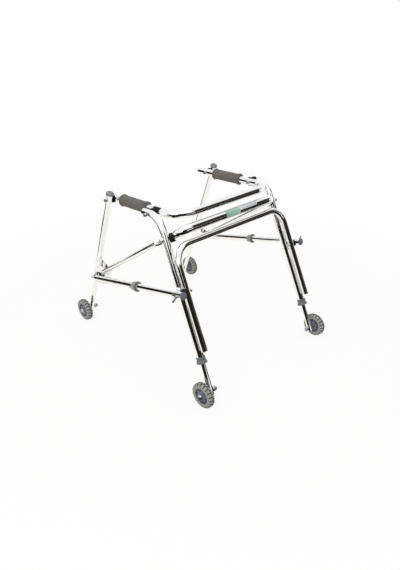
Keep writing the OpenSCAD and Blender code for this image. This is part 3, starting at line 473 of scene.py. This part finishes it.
# %% [markdown]
# ## Pieces made as meshes
# Some pieces show more in the photograph than their construction solids do: foam, tyres with their
# blocks, moulded hubs and saddles, and the pressed ends of the braces. They are made here as
# meshes in millimetres and take the place of their solids. A few small helpers are enough. One
# joins rings of points into a skin, one turns a profile round an axis, one makes the object with
# crisp edges, and one puts it in place of its solid.

# %% Mesh helpers
SIDES = {"left": -1, "right": 1}
NOWHERE = Vector((0, 0, 0))
X, UP = Vector((1, 0, 0)), Vector((0, 0, 1))
FACETS = 48
SHARPEST = math.radians(35)


def full_turn(count):
    """Angles that go once round."""
    return [2 * math.pi * i / count for i in range(count)]


def skin(work, rings, closed=False):
    """Joins rings of points, in millimetres, into one surface. A ring of one point is a pole."""
    rows = [[work.verts.new(point * MM) for point in ring] for ring in rings]
    for a, b in list(zip(rows, rows[1:])) + ([(rows[-1], rows[0])] if closed else []):
        count = max(len(a), len(b))
        for i in range(count):
            j = (i + 1) % count
            corners = (a[i % len(a)], a[j % len(a)], b[j % len(b)], b[i % len(b)])
            work.faces.new(list(dict.fromkeys(corners)))


def turned(work, profile, origin, axis, facets=FACETS):
    """Turns (along, radius) points round an axis. If they start off the axis, it is a ring."""
    across = axis.cross(UP).normalized()
    third = axis.cross(across)
    rings = []
    for along, radius in profile:
        middle = origin + axis * along
        rings.append([
            middle + radius * (across * math.cos(t) + third * math.sin(t))
            for t in full_turn(facets)
        ] if radius else [middle])
    skin(work, rings, closed=profile[0][1] > 0)


def crisp(obj):
    """Smooth faces, with a sharp edge wherever two of them meet at a wide angle."""
    work = bmesh.new()
    work.from_mesh(obj.data)
    bmesh.ops.recalc_face_normals(work, faces=work.faces)
    for face in work.faces:
        face.smooth = True
    for edge in work.edges:
        edge.smooth = edge.calc_face_angle(math.pi) < SHARPEST
    work.to_mesh(obj.data)
    work.free()


def made(work, name, material, centre=NOWHERE):
    """Turns a finished bmesh into an object whose own origin lies at centre."""
    mesh = bpy.data.meshes.new(name)
    work.to_mesh(mesh)
    work.free()
    mesh.materials.append(material)
    obj = placed(name, mesh)
    obj.location = centre * MM
    crisp(obj)
    return obj


def stands_for(obj, node):
    """Shows obj instead of a solid, on the same body."""
    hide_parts(node)
    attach(obj, BODY_OF[node])
    return obj


print("edges sharper than", round(math.degrees(SHARPEST)), "degrees stay crisp")

# %% [markdown]
# ## Wheels
# A tyre is one rubber moulding with a round section. Two rows of blocks run round it, staggered by
# half a block, and its lips close over the rim of the hub. It could be turned and then cut by forty
# wedges, but drawing it ring by ring gives one clean skin. Each block has sharp points where its
# groove begins and ends, which keeps the groove walls steep without a dense mesh.

# %% Tyres
BLOCKS, TREAD_DEEP = 20, 2.4
# Half of the section, as (distance from the middle plane, radius), from the crown to the lip.
HALF_SECTION = [
    (0, 38), (0.9, 38), (1.3, 38), (3.5, 37.8), (6, 37.1), (7.6, 36.2), (8.6, 35.1),
    (9.4, 33.7), (10.1, 31.6), (10.4, 29.4), (10.5, 27.2), (10.2, 24.9), (9.6, 23.6), (8.8, 23.2),
]
LIP_HALF, SEAT = 8.8, 27.1
BLOCK_FOOT, SHOULDER = 30, 2
CENTRE_GROOVE, BLOCK_EDGE = 0.9, 1.2
GROOVE_SHARE, STAGGER, HAIR = 0.3, 0.5, 0.001
BLOCK_PHASES = (0, 0.04, 0.26, 0.3, 0.4, 0.5, 0.54, 0.76, 0.8, 0.9)
WHEELS = {
    "rear_left": (-257.3, -305), "rear_right": (257.3, -305),
    "front_left": (-249.3, 305), "front_right": (249.3, 305),
}
AXLE_Z = 38


def groove(along, phase):
    """How deep the tread is cut there, from 0 to 1."""
    if abs(along) <= CENTRE_GROOVE:
        return 1.0
    start = 0 if along > 0 else STAGGER
    inside = start + HAIR < phase < start + GROOVE_SHARE - HAIR
    return 1.0 if inside and abs(along) > BLOCK_EDGE else 0.0


def make_tyre(name, centre):
    """A tyre round the X axis, with its blocks."""
    section = [(-u, r) for u, r in reversed(HALF_SECTION[1:])] + HALF_SECTION
    section += [(LIP_HALF, SEAT), (-LIP_HALF, SEAT)]
    phases = [(block + phase) / BLOCKS for block in range(BLOCKS) for phase in BLOCK_PHASES]
    rings = []
    for along, radius in section:
        shoulder = min(1, max(0, (radius - BLOCK_FOOT) / SHOULDER))
        ring = []
        for turn in phases:
            cut_in = TREAD_DEEP * shoulder * groove(along, turn * BLOCKS % 1)
            angle = 2 * math.pi * turn
            out = Vector((0, math.cos(angle), math.sin(angle)))
            ring.append(Vector((along, 0, 0)) + out * (radius - cut_in))
        rings.append(ring)
    work = bmesh.new()
    skin(work, rings, closed=True)
    return made(work, name, tyre_rubber, centre)


for wheel, (x, y) in WHEELS.items():
    tyre = make_tyre("rubber_tyre_" + wheel, Vector((x, y, AXLE_Z)))
    stands_for(tyre, "tyre_" + wheel)
print("tyre:", len(tyre.data.polygons), "faces")

# %% [markdown]
# The hub is a moulding with a deep ring groove, a slightly domed disc and six windows at its edge.
# It is drawn as rings too, which is simpler than cutting: inside a window the disc drops to the
# groove's floor.

# %% Hubs
WINDOWS, WINDOW_SHARE, WINDOW_EDGE = 6, 0.34, 0.01
WINDOW_INNER, WINDOW_OUTER, HUB_FLOOR = 13, 18.5, 3
# The outer half, as (distance from the middle plane, radius), from the bore to the rim.
HALF_HUB = [
    (11, 4.06), (11, 8.2), (10.5, 8.9), (8.8, 9.4), (8.6, 12.8), (8.5, 13.1), (8.2, 16.2),
    (7.7, 18.0), (7.2, 18.4), (3, 18.7), (3, 22.3), (8, 22.7), (8.4, 23.2), (8.4, 26.5), (8, 26.9),
]
HUB_PHASES = (0, WINDOW_EDGE, WINDOW_SHARE - WINDOW_EDGE, WINDOW_SHARE, 0.5, 0.67, 0.83)


def make_hub(name, centre):
    """A hub round the X axis, with its windows."""
    turns = [(sector + phase) / WINDOWS for sector in range(WINDOWS) for phase in HUB_PHASES]
    section = HALF_HUB + [(-u, r) for u, r in reversed(HALF_HUB)]
    rings = []
    for along, radius in section:
        ring = []
        for turn in turns:
            in_ring = WINDOW_INNER < radius < WINDOW_OUTER
            in_window = in_ring and 0 < turn * WINDOWS % 1 < WINDOW_SHARE - HAIR
            reach = math.copysign(HUB_FLOOR, along) if in_window else along
            angle = 2 * math.pi * turn
            ring.append(Vector((reach, radius * math.cos(angle), radius * math.sin(angle))))
        rings.append(ring)
    work = bmesh.new()
    skin(work, rings, closed=True)
    return made(work, name, hub_blue, centre)


for wheel, (x, y) in WHEELS.items():
    hub = make_hub("moulded_hub_" + wheel, Vector((x, y, AXLE_Z)))
    stands_for(hub, "hub_" + wheel)
print("hub:", len(hub.data.polygons), "faces")

# %% [markdown]
# Each wheel turns on a bolt with a domed head, kept off the leg by a short sleeve and held by one
# deep nut on the inner side. All are turned shapes, so profiles are enough. Distances run outward
# from the leg's axis, and a nut is a turned ring with six facets.

# %% Axles
BOLT = [
    (-22.6, 0), (-22.6, 3.4), (-22, 4), (38.4, 4), (38.4, 7.6), (39.2, 7.9), (39.7, 7.0),
    (41.4, 6.6), (42.9, 5.3), (43.8, 3.0), (44.1, 0),
]
SLEEVE = [(8.3, 4.2), (8.3, 8), (15.6, 8), (15.6, 4.2)]
NUT_SLEEVE = [(-8.5, 4.2), (-8.5, 6.2), (-11.5, 6.2), (-11.5, 4.2)]
DEEP_NUT = [(-11.6, 4.8), (-11.6, 7.7), (-19.6, 7.7), (-19.6, 4.8)]
NUT_FACETS = 6
WHEEL_OFFSET = 27

for wheel, (x, y) in WHEELS.items():
    side = math.copysign(1, x)
    centre = Vector((x - side * WHEEL_OFFSET, y, AXLE_Z))
    outward = Vector((side, 0, 0))
    work = bmesh.new()
    for profile in (BOLT, SLEEVE, NUT_SLEEVE):
        turned(work, profile, NOWHERE, outward)
    turned(work, DEEP_NUT, NOWHERE, outward, NUT_FACETS)
    stands_for(made(work, "axle_bolt_" + wheel, zinc, centre), "axle_" + wheel)
print("axles:", len(WHEELS))

# %% [markdown]
# ## Saddles
# Where two tubes cross, a black nylon saddle keeps them apart. Each starts as a plain turned disc
# with its bolt hole and is then hollowed by the tubes that pass it, so the fit is the real one and
# no curve is drawn by eye. The tubes are placed by the angles of the frame: rear legs lean back and
# splay outward, the handle slopes. Everything is made on the right side and mirrored later.

# %% Places of the crossing tubes
LEAN, SPLAY, TILT = math.radians(25.3), math.radians(1.48), math.radians(3.3)
REAR_Y, LEG_FOOT_X = -305, 230.3
LEG = Matrix.Translation((0, REAR_Y, AXLE_Z)) @ Matrix.Rotation(-LEAN, 4, "X")
LEG = LEG @ Matrix.Translation((LEG_FOOT_X, 0, 0)) @ Matrix.Rotation(-SPLAY, 4, "Y")
LEG_FROM, BEND_FROM, STUB = 200, 460.2, 60
BEND_RADIUS, BEND_TURN, BEND_STEPS = 58, math.radians(68), 16
HANDLE_X, HANDLE_Z = 190, 484
HANDLE_AXIS = Vector((0, math.cos(TILT), -math.sin(TILT)))
HANDLE_BOLT = Vector((0, -49.557, 486.857))
FRONT_BOLT = Vector((0, 145.73, 475.60))
BAR_END_BOLT = Vector((0, -118.245, 433.084))
SIDE_BAR_BOLT = Vector((0, -204.62, 311.20))


def leg_path():
    """The axis of the right rear leg: straight, then bent forward into its stub."""
    points = [Vector((0, 0, LEG_FROM)), Vector((0, 0, BEND_FROM))]
    for i in range(1, BEND_STEPS + 1):
        turn = BEND_TURN * i / BEND_STEPS
        rise = BEND_FROM + BEND_RADIUS * math.sin(turn)
        points.append(Vector((0, BEND_RADIUS * (1 - math.cos(turn)), rise)))
    points.append(points[-1] + STUB * Vector((0, math.sin(BEND_TURN), math.cos(BEND_TURN))))
    return [LEG @ point for point in points]


print("leg bend ends at", [round(c, 1) for c in leg_path()[-2]])

# %% [markdown]
# Two helpers do the hollowing. One draws the space that a tube takes up, a round bar along a path
# that runs across X, and the other subtracts such bars from a saddle with exact booleans.

# %% Hollowing helpers
def swept(name, path, radius):
    """A round bar along a path of points."""
    rings = []
    for i, point in enumerate(path):
        ahead = (path[min(i + 1, len(path) - 1)] - path[max(i - 1, 0)]).normalized()
        across = (X - ahead * X.dot(ahead)).normalized()
        third = ahead.cross(across)
        rings.append([
            point + radius * (across * math.cos(t) + third * math.sin(t))
            for t in full_turn(FACETS)
        ])
    work = bmesh.new()
    skin(work, [[path[0]]] + rings + [[path[-1]]])
    return made(work, name, black_nylon)


def hollowed(obj, cutters):
    """Cuts other solids out of obj, and takes them away."""
    for cutter in cutters:
        change = obj.modifiers.new("hollow", "BOOLEAN")
        change.operation = "DIFFERENCE"
        change.solver = "EXACT"
        change.object = cutter
    shaped = obj.evaluated_get(bpy.context.evaluated_depsgraph_get())
    obj.data = bpy.data.meshes.new_from_object(shaped)
    obj.modifiers.clear()
    for cutter in cutters:
        bpy.data.objects.remove(cutter)
    crisp(obj)
    return obj


print("points along the leg:", len(leg_path()))

# %% [markdown]
# The spaces of the four tubes come next, each a hair wider than its tube so that the nylon doesn't
# touch the chrome, and then the plain shapes that they hollow out.

# %% Spaces and plain shapes
HANDLE_RADIUS, LEG_RADIUS, FRAME_RADIUS, BACK_BAR_RADIUS = 11.1, 11.1, 9.5, 12.7
CLEAR, HANDLE_CLEAR = 0.15, 0.1
HANDLE_BEHIND, HANDLE_AHEAD = 130, 230
FRAME_BEHIND, FRAME_LOW, FRAME_HIGH = -26, 180, 360
BACK_BAR_X, BACK_BAR_TILT, BACK_BAR_REACH = 189, math.radians(42), 40
EDGE, BOLT_HOLE = 1.2, 3.2
HOLE_FROM, HOLE_TO = 150, 270
INNER_FROM, INNER_RADIUS = 120, 40


def handle_bar():
    """The space of the right handle."""
    middle = Vector((HANDLE_X, 0, HANDLE_Z))
    path = [middle - HANDLE_BEHIND * HANDLE_AXIS, middle + HANDLE_AHEAD * HANDLE_AXIS]
    return swept("handle_space", path, HANDLE_RADIUS + HANDLE_CLEAR)


def leg_bar():
    """The space of the right rear leg, round its bend."""
    return swept("leg_space", leg_path(), LEG_RADIUS + CLEAR)


def frame_bar():
    """The space of the rear frame, close behind the leg."""
    path = [LEG @ Vector((0, FRAME_BEHIND, height)) for height in (FRAME_LOW, FRAME_HIGH)]
    return swept("rear_frame_space", path, FRAME_RADIUS + CLEAR)


def back_bar_end():
    """The space of the back bar's bolted end."""
    bolt = BAR_END_BOLT + BACK_BAR_X * X
    way = Vector((0, math.cos(BACK_BAR_TILT), -math.sin(BACK_BAR_TILT)))
    path = [bolt - BACK_BAR_REACH * way, bolt + BACK_BAR_REACH * way]
    return swept("back_bar_space", path, BACK_BAR_RADIUS + CLEAR)


def disc(name, bolt, start, end, radius, tip=None, hole=BOLT_HOLE):
    """A turned disc along X with broken edges. With a tip it narrows over its outer half."""
    tip = tip or radius
    middle = (start + end) / 2 if tip < radius else end - EDGE
    work = bmesh.new()
    turned(work, [
        (start, hole), (start, radius - EDGE), (start + EDGE, radius), (middle, radius),
        (end - EDGE / 2, tip), (end, tip - EDGE / 2), (end, hole),
    ], bolt, X)
    return made(work, name, black_nylon)


def bolt_space(bolt):
    """The space of a bolt that runs along X."""
    work = bmesh.new()
    profile = [(HOLE_FROM, 0), (HOLE_FROM, BOLT_HOLE), (HOLE_TO, BOLT_HOLE), (HOLE_TO, 0)]
    turned(work, profile, bolt, X)
    return made(work, "bolt_hole", black_nylon)


def inner_half():
    """The side of the handle that its cup leaves bare."""
    return disc("inner_space", HANDLE_BOLT, INNER_FROM, HANDLE_X, INNER_RADIUS, hole=0)


print("back bar space:", 2 * (BACK_BAR_RADIUS + CLEAR), "mm wide")

# %% [markdown]
# On each side there are five saddles. The front leg's sits on the handle, a cup covers the outer
# half of the handle at the rear leg's bolt with a disc beside it, one lies between the back bar and
# the rear leg, and one that narrows outward carries the side bar.

# %% Saddles hollowed to their tubes
CUP = [(-18, 0), (-18, 12), (-17, 13.2), (8, 13.2), (9, 12), (9, 0)]

front = hollowed(disc("front_saddle", FRONT_BOLT, 195, 203.7, radius=12), [handle_bar()])
work = bmesh.new()
turned(work, CUP, HANDLE_BOLT + HANDLE_X * X, HANDLE_AXIS)
cup = hollowed(made(work, "handle_cup", black_nylon),
               [handle_bar(), bolt_space(HANDLE_BOLT), inner_half()])
rail = hollowed(disc("rail_saddle", HANDLE_BOLT, 203.4, 212.5, radius=12.4), [leg_bar()])
bow = hollowed(disc("back_bar_saddle", BAR_END_BOLT, 191.6, 213.5, radius=13),
               [back_bar_end(), leg_bar()])
side_bar = hollowed(disc("side_bar_saddle", SIDE_BAR_BOLT, 227.3, 241.2, radius=11.5, tip=5.5),
                    [leg_bar(), frame_bar()])


def both_sides(name, parts):
    """One object from several pieces and their mirror images. The pieces are taken away."""
    work = bmesh.new()
    for flip in SIDES.values():
        for part in parts:
            mesh = part.data.copy()
            mesh.transform(Matrix.Diagonal((-flip, 1, 1, 1)))
            work.from_mesh(mesh)
            bpy.data.meshes.remove(mesh)
    for part in parts:
        bpy.data.objects.remove(part)
    return made(work, name, black_nylon)


on_handle = both_sides("nylon_saddles_on_handle", [front, cup])
on_frame = both_sides("nylon_saddles_on_frame", [rail, bow, side_bar])
stands_for(on_handle, "handle_saddles")
stands_for(on_frame, "frame_saddles")
print("saddles:", len(on_handle.data.polygons) + len(on_frame.data.polygons), "faces")

# %% [markdown]
# ## Braces
# Each diagonal brace is a tube with both ends pressed flat and drilled. The press leaves a short
# neck, where the section goes from round to flat while its inner side stays in line, so the flat
# lies against its neighbour. A lattice could squash a tube, but sections drawn one by one give the
# neck its exact length. The front hole is wider, because the frame needs play there to fold.

# %% Pressed tubes
BRACE_X = 239.1
BRACE_FRONT, BRACE_REAR = Vector((0, 190.55, 220.88)), BAR_END_BOLT
BRACE_RADIUS, BRACE_GAP = 8, 0.2
FLAT_HALF, FLAT_FRONT, FLAT_REAR, FLAT_LAP = 1.4, 12, 7.5, 0.5
NECK_LENGTH, NECK_STEPS = 9, 10
HOLE_FRONT, HOLE_REAR = 4.95, 3.06
TINY = 1e-6


def flat_reach(turn, flat):
    """How far a pressed end reaches from its hole: round at the tip, square towards the neck."""
    ahead, aside = math.cos(turn), abs(math.sin(turn))
    if ahead <= 0:
        return BRACE_RADIUS
    return min(BRACE_RADIUS / max(aside, TINY), (flat + FLAT_LAP) / max(ahead, TINY))


def make_brace(name, side):
    """A tube from bolt to bolt, and a drilled flat at each end of it."""
    ahead = (BRACE_REAR - BRACE_FRONT).normalized()
    length = (BRACE_REAR - BRACE_FRONT).length
    out = Vector((side, 0, 0))
    wide = ahead.cross(out)
    start = out * BRACE_X + BRACE_FRONT
    turns = full_turn(FACETS)

    def middle(along, half):
        return start + ahead * along + out * (half - BRACE_RADIUS + BRACE_GAP)

    steps = [NECK_LENGTH * i / NECK_STEPS for i in range(NECK_STEPS + 1)]
    stations = [FLAT_FRONT + step for step in steps]
    stations += [length - FLAT_REAR - step for step in reversed(steps)]
    rings = []
    for along in stations:
        neck = min(1, min(along - FLAT_FRONT, length - FLAT_REAR - along) / NECK_LENGTH)
        half = FLAT_HALF + (BRACE_RADIUS - FLAT_HALF) * neck * neck * (3 - 2 * neck)
        rings.append([
            middle(along, half) + out * half * math.cos(t) + wide * BRACE_RADIUS * math.sin(t)
            for t in turns
        ])
    first, last = (sum(ring, NOWHERE) / FACETS for ring in (rings[0], rings[-1]))
    work = bmesh.new()
    skin(work, [[first]] + rings + [[last]])
    ends = ((0, ahead, HOLE_FRONT, FLAT_FRONT), (length, -ahead, HOLE_REAR, FLAT_REAR))
    for along, inward, hole, flat in ends:
        loops = []
        for lift, is_rim in ((-1, False), (-1, True), (1, True), (1, False)):
            face = middle(along, FLAT_HALF) + out * lift * FLAT_HALF
            reaches = [flat_reach(t, flat) if is_rim else hole for t in turns]
            loops.append([
                face + inward * reach * math.cos(t) + wide * reach * math.sin(t)
                for t, reach in zip(turns, reaches)
            ])
        skin(work, loops, closed=True)
    return made(work, name, chrome)


for word, side in SIDES.items():
    brace = make_brace("pressed_brace_" + word, side)
    stands_for(brace, "brace_" + word)
print("brace:", len(brace.data.polygons), "faces")

# %% [markdown]
# Two bolts pass each corner bracket. The one through the side bar's flat end carries a wide washer
# and a tall domed nut on the outer side, and the one through the brace has its head there. They are
# turned like the axles, from profiles measured outward from the middle of the walker.

# %% Bracket bolts
BAR_FRONT = Vector((0, 230.992, 196.017))
HEX, TALL_HEX = 10 / math.sqrt(3), 11.5 / math.sqrt(3)
ROUND_FACETS = 32
BRACKET_BOLTS = [
    # Through the side bar: shank, head, washer, tall nut and its dome.
    (BAR_FRONT, [
        ([(207.2, 0), (207.2, 3), (250, 3), (250.6, 0)], ROUND_FACETS),
        ([(203.2, 0), (203.2, HEX), (207.2, HEX), (207.2, 0)], NUT_FACETS),
        ([(234.4, 3.2), (234.4, 9), (235.6, 9), (235.6, 3.2)], FACETS),
        ([(235.9, 3.7), (235.9, TALL_HEX), (244.5, TALL_HEX), (244.5, 3.7)], NUT_FACETS),
        ([(244.6, 0), (244.6, 5.4), (248.6, 5.2), (250.9, 3.9), (252, 1.6), (252.2, 0)],
         ROUND_FACETS),
    ]),
    # Through the brace: shank, head and nut.
    (BRACE_FRONT, [
        ([(199, 0), (199, 3), (234.4, 3), (234.4, 0)], ROUND_FACETS),
        ([(234.4, 0), (234.4, HEX), (238.4, HEX), (238.4, 0)], NUT_FACETS),
        ([(201, 3.7), (201, HEX), (206, HEX), (206, 3.7)], NUT_FACETS),
    ]),
]

for word, side in SIDES.items():
    work = bmesh.new()
    for place, profiles in BRACKET_BOLTS:
        for profile, facets in profiles:
            turned(work, profile, place, Vector((side, 0, 0)), facets)
    fasteners = made(work, "bracket_fasteners_" + word, zinc)
    stands_for(fasteners, "bracket_bolts_" + word)
print("bracket bolts:", len(SIDES) * len(BRACKET_BOLTS))

# %% [markdown]
# ## Button springs
# Behind each button a hairpin of spring steel stands in the tube. When the button is pressed, its
# front leg goes in with the button while its back leg stays on the wall. Here each hairpin is a
# copy of its solid, put in its place, and the depths of its back and front legs along the press
# are found; nothing makes it bend.

# %% Hairpins
LEG_DEPTH = 0.8 * MM
HOLDERS = {"rear": "rear_slider_", "front": "front_slider_", "bar": "bar_rear_"}
PRESS = {
    joint["child"]: Vector(joint["axis"])
    for joint in frame["record"]["behaviour"]["joints"]
}

for place, holder in HOLDERS.items():
    for word in SIDES:
        node, button = f"{place}_spring_{word}", f"{place}_button_{word}"
        spring = frame["nodes"][node].data.copy()
        hairpin = placed(f"{place}_hairpin_{word}", spring)
        depths = [vert.co.dot(PRESS[button]) for vert in spring.vertices]
        back, front = max(depths) - LEG_DEPTH, min(depths) + LEG_DEPTH
        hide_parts(node)
        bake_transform(hairpin)
print("hairpins:", len(SIDES) * len(HOLDERS))

# %% [markdown]
# A side bar can only slide with its button in. Each of its buttons is shown as a copy of its
# solid, on the same body and with a mesh of its own.

for word in SIDES:
    node = "bar_button_" + word
    knob = placed("bar_knob_" + word, frame["nodes"][node].data.copy())
    stands_for(knob, node)
    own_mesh(knob)
print("bar knobs:", len(SIDES))

# %% [markdown]
# ## Foam grips
# The grips are extruded nitrile foam sleeves, pushed over the handle tube with a little glue. To
# the eye the foam is dull and dark, with fine pores, drawn here at 1.6 mm so that they show.

# %% Foam
PORE_MM, PORE_DEEP_MM, FOAM_DRIFT_MM = 1.6, 0.3, 9
foam, tree = new_finish("nitrile_foam_sleeve")
where = add(tree, "ShaderNodeTexCoord").outputs["Object"]
pores = add(tree, "ShaderNodeTexVoronoi", {"Scale": per_metre(PORE_MM)}, {"Vector": where})
drift = add(tree, "ShaderNodeTexNoise", {"Scale": per_metre(FOAM_DRIFT_MM), "Detail": 5.0},
            {"Vector": where})
colour = add(tree, "ShaderNodeValToRGB", {"stops": [(0.3, "#625d57"), (0.7, "#736d66")]},
             {"Fac": drift.outputs["Fac"]})
bump = add(tree, "ShaderNodeBump", {"Strength": 0.7, "Distance": PORE_DEEP_MM * MM},
           {"Height": pores.outputs["Distance"]})
gloss = add(tree, "ShaderNodeMapRange", {"To Min": 0.78, "To Max": 0.95},
            {"Value": drift.outputs["Fac"]})
shader = add(tree, "ShaderNodeBsdfPrincipled", {"IOR": 1.5, "Sheen Weight": 0.05},
             {"Base Color": colour.outputs[0], "Roughness": gloss.outputs[0],
              "Normal": bump.outputs[0]})
add(tree, "ShaderNodeOutputMaterial", links={"Surface": shader.outputs[0]})
print("foam nodes:", len(tree.nodes))

# %% [markdown]
# A rolled flange stands up at each end of a grip, and the body is a touch fuller in the middle.
# Nothing presses on the foam, so no simulation is needed: the profile is turned round the handle's
# own axis, and a slow noise moves the surface by a tenth of a millimetre, because foam is never
# quite round.

# %% Grips
GRIP_BACK, GRIP_LENGTH = -7, 114
GRIP_BORE, GRIP_BODY, GRIP_CROWN, GRIP_FLANGE = 11.2, 16.1, 0.35, 18.4
FLANGE_WIDTH, FLANGE_ROOT = 7, 3.5
ROLL_STEPS, ROOT_STEPS, BODY_STEPS, GRIP_FACETS = 16, 5, 40, 96
SWELL, SWELLS_PER_MM = 0.12, 0.12


def grip_radius(along):
    """Outside radius of the sleeve, along its length, in millimetres."""
    body = GRIP_BODY + GRIP_CROWN * math.sin(math.pi * along / GRIP_LENGTH)
    end = min(along, GRIP_LENGTH - along)
    half = FLANGE_WIDTH / 2
    if end <= FLANGE_WIDTH:
        roll = math.sqrt(max(0.0, 1 - ((end - half) / half) ** 2))
        flange = GRIP_FLANGE - half + half * roll
    else:
        fade = max(0.0, 1 - (end - FLANGE_WIDTH) / FLANGE_ROOT)
        flange = body + (GRIP_FLANGE - half - body) * fade * fade
    return max(body if end > half else 0, flange)


def grip_stations():
    """Distances along a grip at which its radius is drawn, closer together at the flanges."""
    rolls = [math.cos(math.pi * i / ROLL_STEPS) for i in range(ROLL_STEPS + 1)]
    end = [FLANGE_WIDTH * (1 - roll) / 2 for roll in rolls]
    end += [FLANGE_WIDTH + FLANGE_ROOT * i / ROOT_STEPS for i in range(1, ROOT_STEPS + 1)]
    first = FLANGE_WIDTH + FLANGE_ROOT
    body = [first + (GRIP_LENGTH - 2 * first) * i / BODY_STEPS for i in range(1, BODY_STEPS)]
    return end + body + [GRIP_LENGTH - station for station in reversed(end)]


def make_grip(name, side):
    """A foam sleeve round the handle, with its bore."""
    start = Vector((side * HANDLE_X, 0, HANDLE_Z)) + HANDLE_AXIS * GRIP_BACK
    up = X.cross(HANDLE_AXIS)
    profile = [(station, grip_radius(station)) for station in grip_stations()]
    profile = [(0, GRIP_BORE)] + profile + [(GRIP_LENGTH, GRIP_BORE)]
    rings = []
    for along, radius in profile:
        ring = []
        for angle in full_turn(GRIP_FACETS):
            out = X * math.cos(angle) + up * math.sin(angle)
            place = start + HANDLE_AXIS * along + out * radius
            swell = SWELL * noise.noise(place * SWELLS_PER_MM) if radius > GRIP_BORE else 0
            ring.append(place + out * swell)
        rings.append(ring)
    work = bmesh.new()
    skin(work, rings, closed=True)
    return made(work, name, foam)


for word, side in SIDES.items():
    grip = make_grip("foam_grip_" + word, side)
    stands_for(grip, "grip_" + word)
print("grip:", len(grip.data.vertices), "points")

# %% [markdown]
# ## Blank label
# A strip of printed vinyl film is stuck along the back bar, with a tall green field and a lower
# grey-blue one. To the eye it is smooth with a slight gloss. The two fields are colour stops along
# its length, and a noise of 1.4 mm stands for the print's dots, which are too fine to show.

# %% Vinyl film
DOT_MM, DOT_DEEP_MM = 1.4, 0.02
vinyl, tree = new_finish("printed_vinyl_film")
where = add(tree, "ShaderNodeTexCoord")
along = add(tree, "ShaderNodeSeparateXYZ", links={0: where.outputs["Generated"]})
dots = add(tree, "ShaderNodeTexNoise", {"Scale": per_metre(DOT_MM), "Detail": 2.0},
           {"Vector": where.outputs["Object"]})
drift = add(tree, "ShaderNodeMath", {"operation": "MULTIPLY_ADD", 1: 0.03, 2: -0.015},
            {0: dots.outputs["Fac"]})
field = add(tree, "ShaderNodeMath", {"operation": "ADD"},
            {0: along.outputs["X"], 1: drift.outputs[0]})
colour = add(tree, "ShaderNodeValToRGB",
             {"stops": [(0.0, "#8fbaa6"), (0.43, "#a9cdbc"), (0.46, "#e6ebea"),
                        (0.52, "#cbd3d8"), (1.0, "#bcc6cc")]},
             {"Fac": field.outputs[0]})
bump = add(tree, "ShaderNodeBump", {"Strength": 0.3, "Distance": DOT_DEEP_MM * MM},
           {"Height": dots.outputs["Fac"]})
shader = add(tree, "ShaderNodeBsdfPrincipled", {"Roughness": 0.35, "IOR": 1.53},
             {"Base Color": colour.outputs[0], "Normal": bump.outputs[0]})
add(tree, "ShaderNodeOutputMaterial", links={"Surface": shader.outputs[0]})
print("vinyl nodes:", len(tree.nodes))

# %% [markdown]
# The film is 0.15 mm thick and follows the tube. A flat sheet could be shrinkwrapped, but an arc
# carried along the bar lies evenly everywhere, and its corners are easily cut. Angles run from
# straight up round the back of the bar.

# %% Label
BAR_Y, BAR_Z = -147.23, 459.18
LABEL_FROM, LABEL_TO, FIELD_EDGE = -29, 100, 29
LABEL_TOP, GREEN_FOOT, GREY_FOOT = math.radians(13.4), math.radians(111), math.radians(70.6)
FILM_LIFT, FILM_THICK, CORNER_CUT = 0.05, 0.15, 2.0
COLUMNS, ROWS = 64, 12


def film_column(x, radius):
    """Points across the film at x, from its top edge to its foot."""
    cut = max(0.0, CORNER_CUT - min(x - LABEL_FROM, LABEL_TO - x)) / BACK_BAR_RADIUS
    first, last = LABEL_TOP + cut, (GREEN_FOOT if x < FIELD_EDGE else GREY_FOOT) - cut
    angles = [first + (last - first) * j / ROWS for j in range(ROWS + 1)]
    return [Vector((x, BAR_Y - radius * math.sin(a), BAR_Z + radius * math.cos(a))) * MM
            for a in angles]


def make_label():
    """A bent strip with cut corners, closed all round."""
    places = [LABEL_FROM + (LABEL_TO - LABEL_FROM) * i / COLUMNS for i in range(COLUMNS + 1)]
    under = BACK_BAR_RADIUS + FILM_LIFT
    work = bmesh.new()
    below, above = (
        [[work.verts.new(point) for point in film_column(x, radius)] for x in places]
        for radius in (under, under + FILM_THICK)
    )
    for sheet in (below, above):
        for i in range(COLUMNS):
            for j in range(ROWS):
                corners = (sheet[i][j], sheet[i + 1][j], sheet[i + 1][j + 1], sheet[i][j + 1])
                work.faces.new(corners)
    rim = [(i, 0) for i in range(COLUMNS)] + [(COLUMNS, j) for j in range(ROWS)]
    rim += [(i, ROWS) for i in range(COLUMNS, 0, -1)] + [(0, j) for j in range(ROWS, 0, -1)]
    for (i, j), (k, m) in zip(rim, rim[1:] + rim[:1]):
        work.faces.new((below[i][j], below[k][m], above[k][m], above[i][j]))
    bmesh.ops.recalc_face_normals(work, faces=work.faces)
    mesh = bpy.data.meshes.new("blank_label")
    work.to_mesh(mesh)
    work.free()
    mesh.materials.append(vinyl)
    obj = placed("blank_label", mesh)
    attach(obj, BODY_OF["back_bar"])
    return obj


print("label:", len(make_label().data.polygons), "faces")

# %% [markdown]
# ## End

# %% End
print("end")
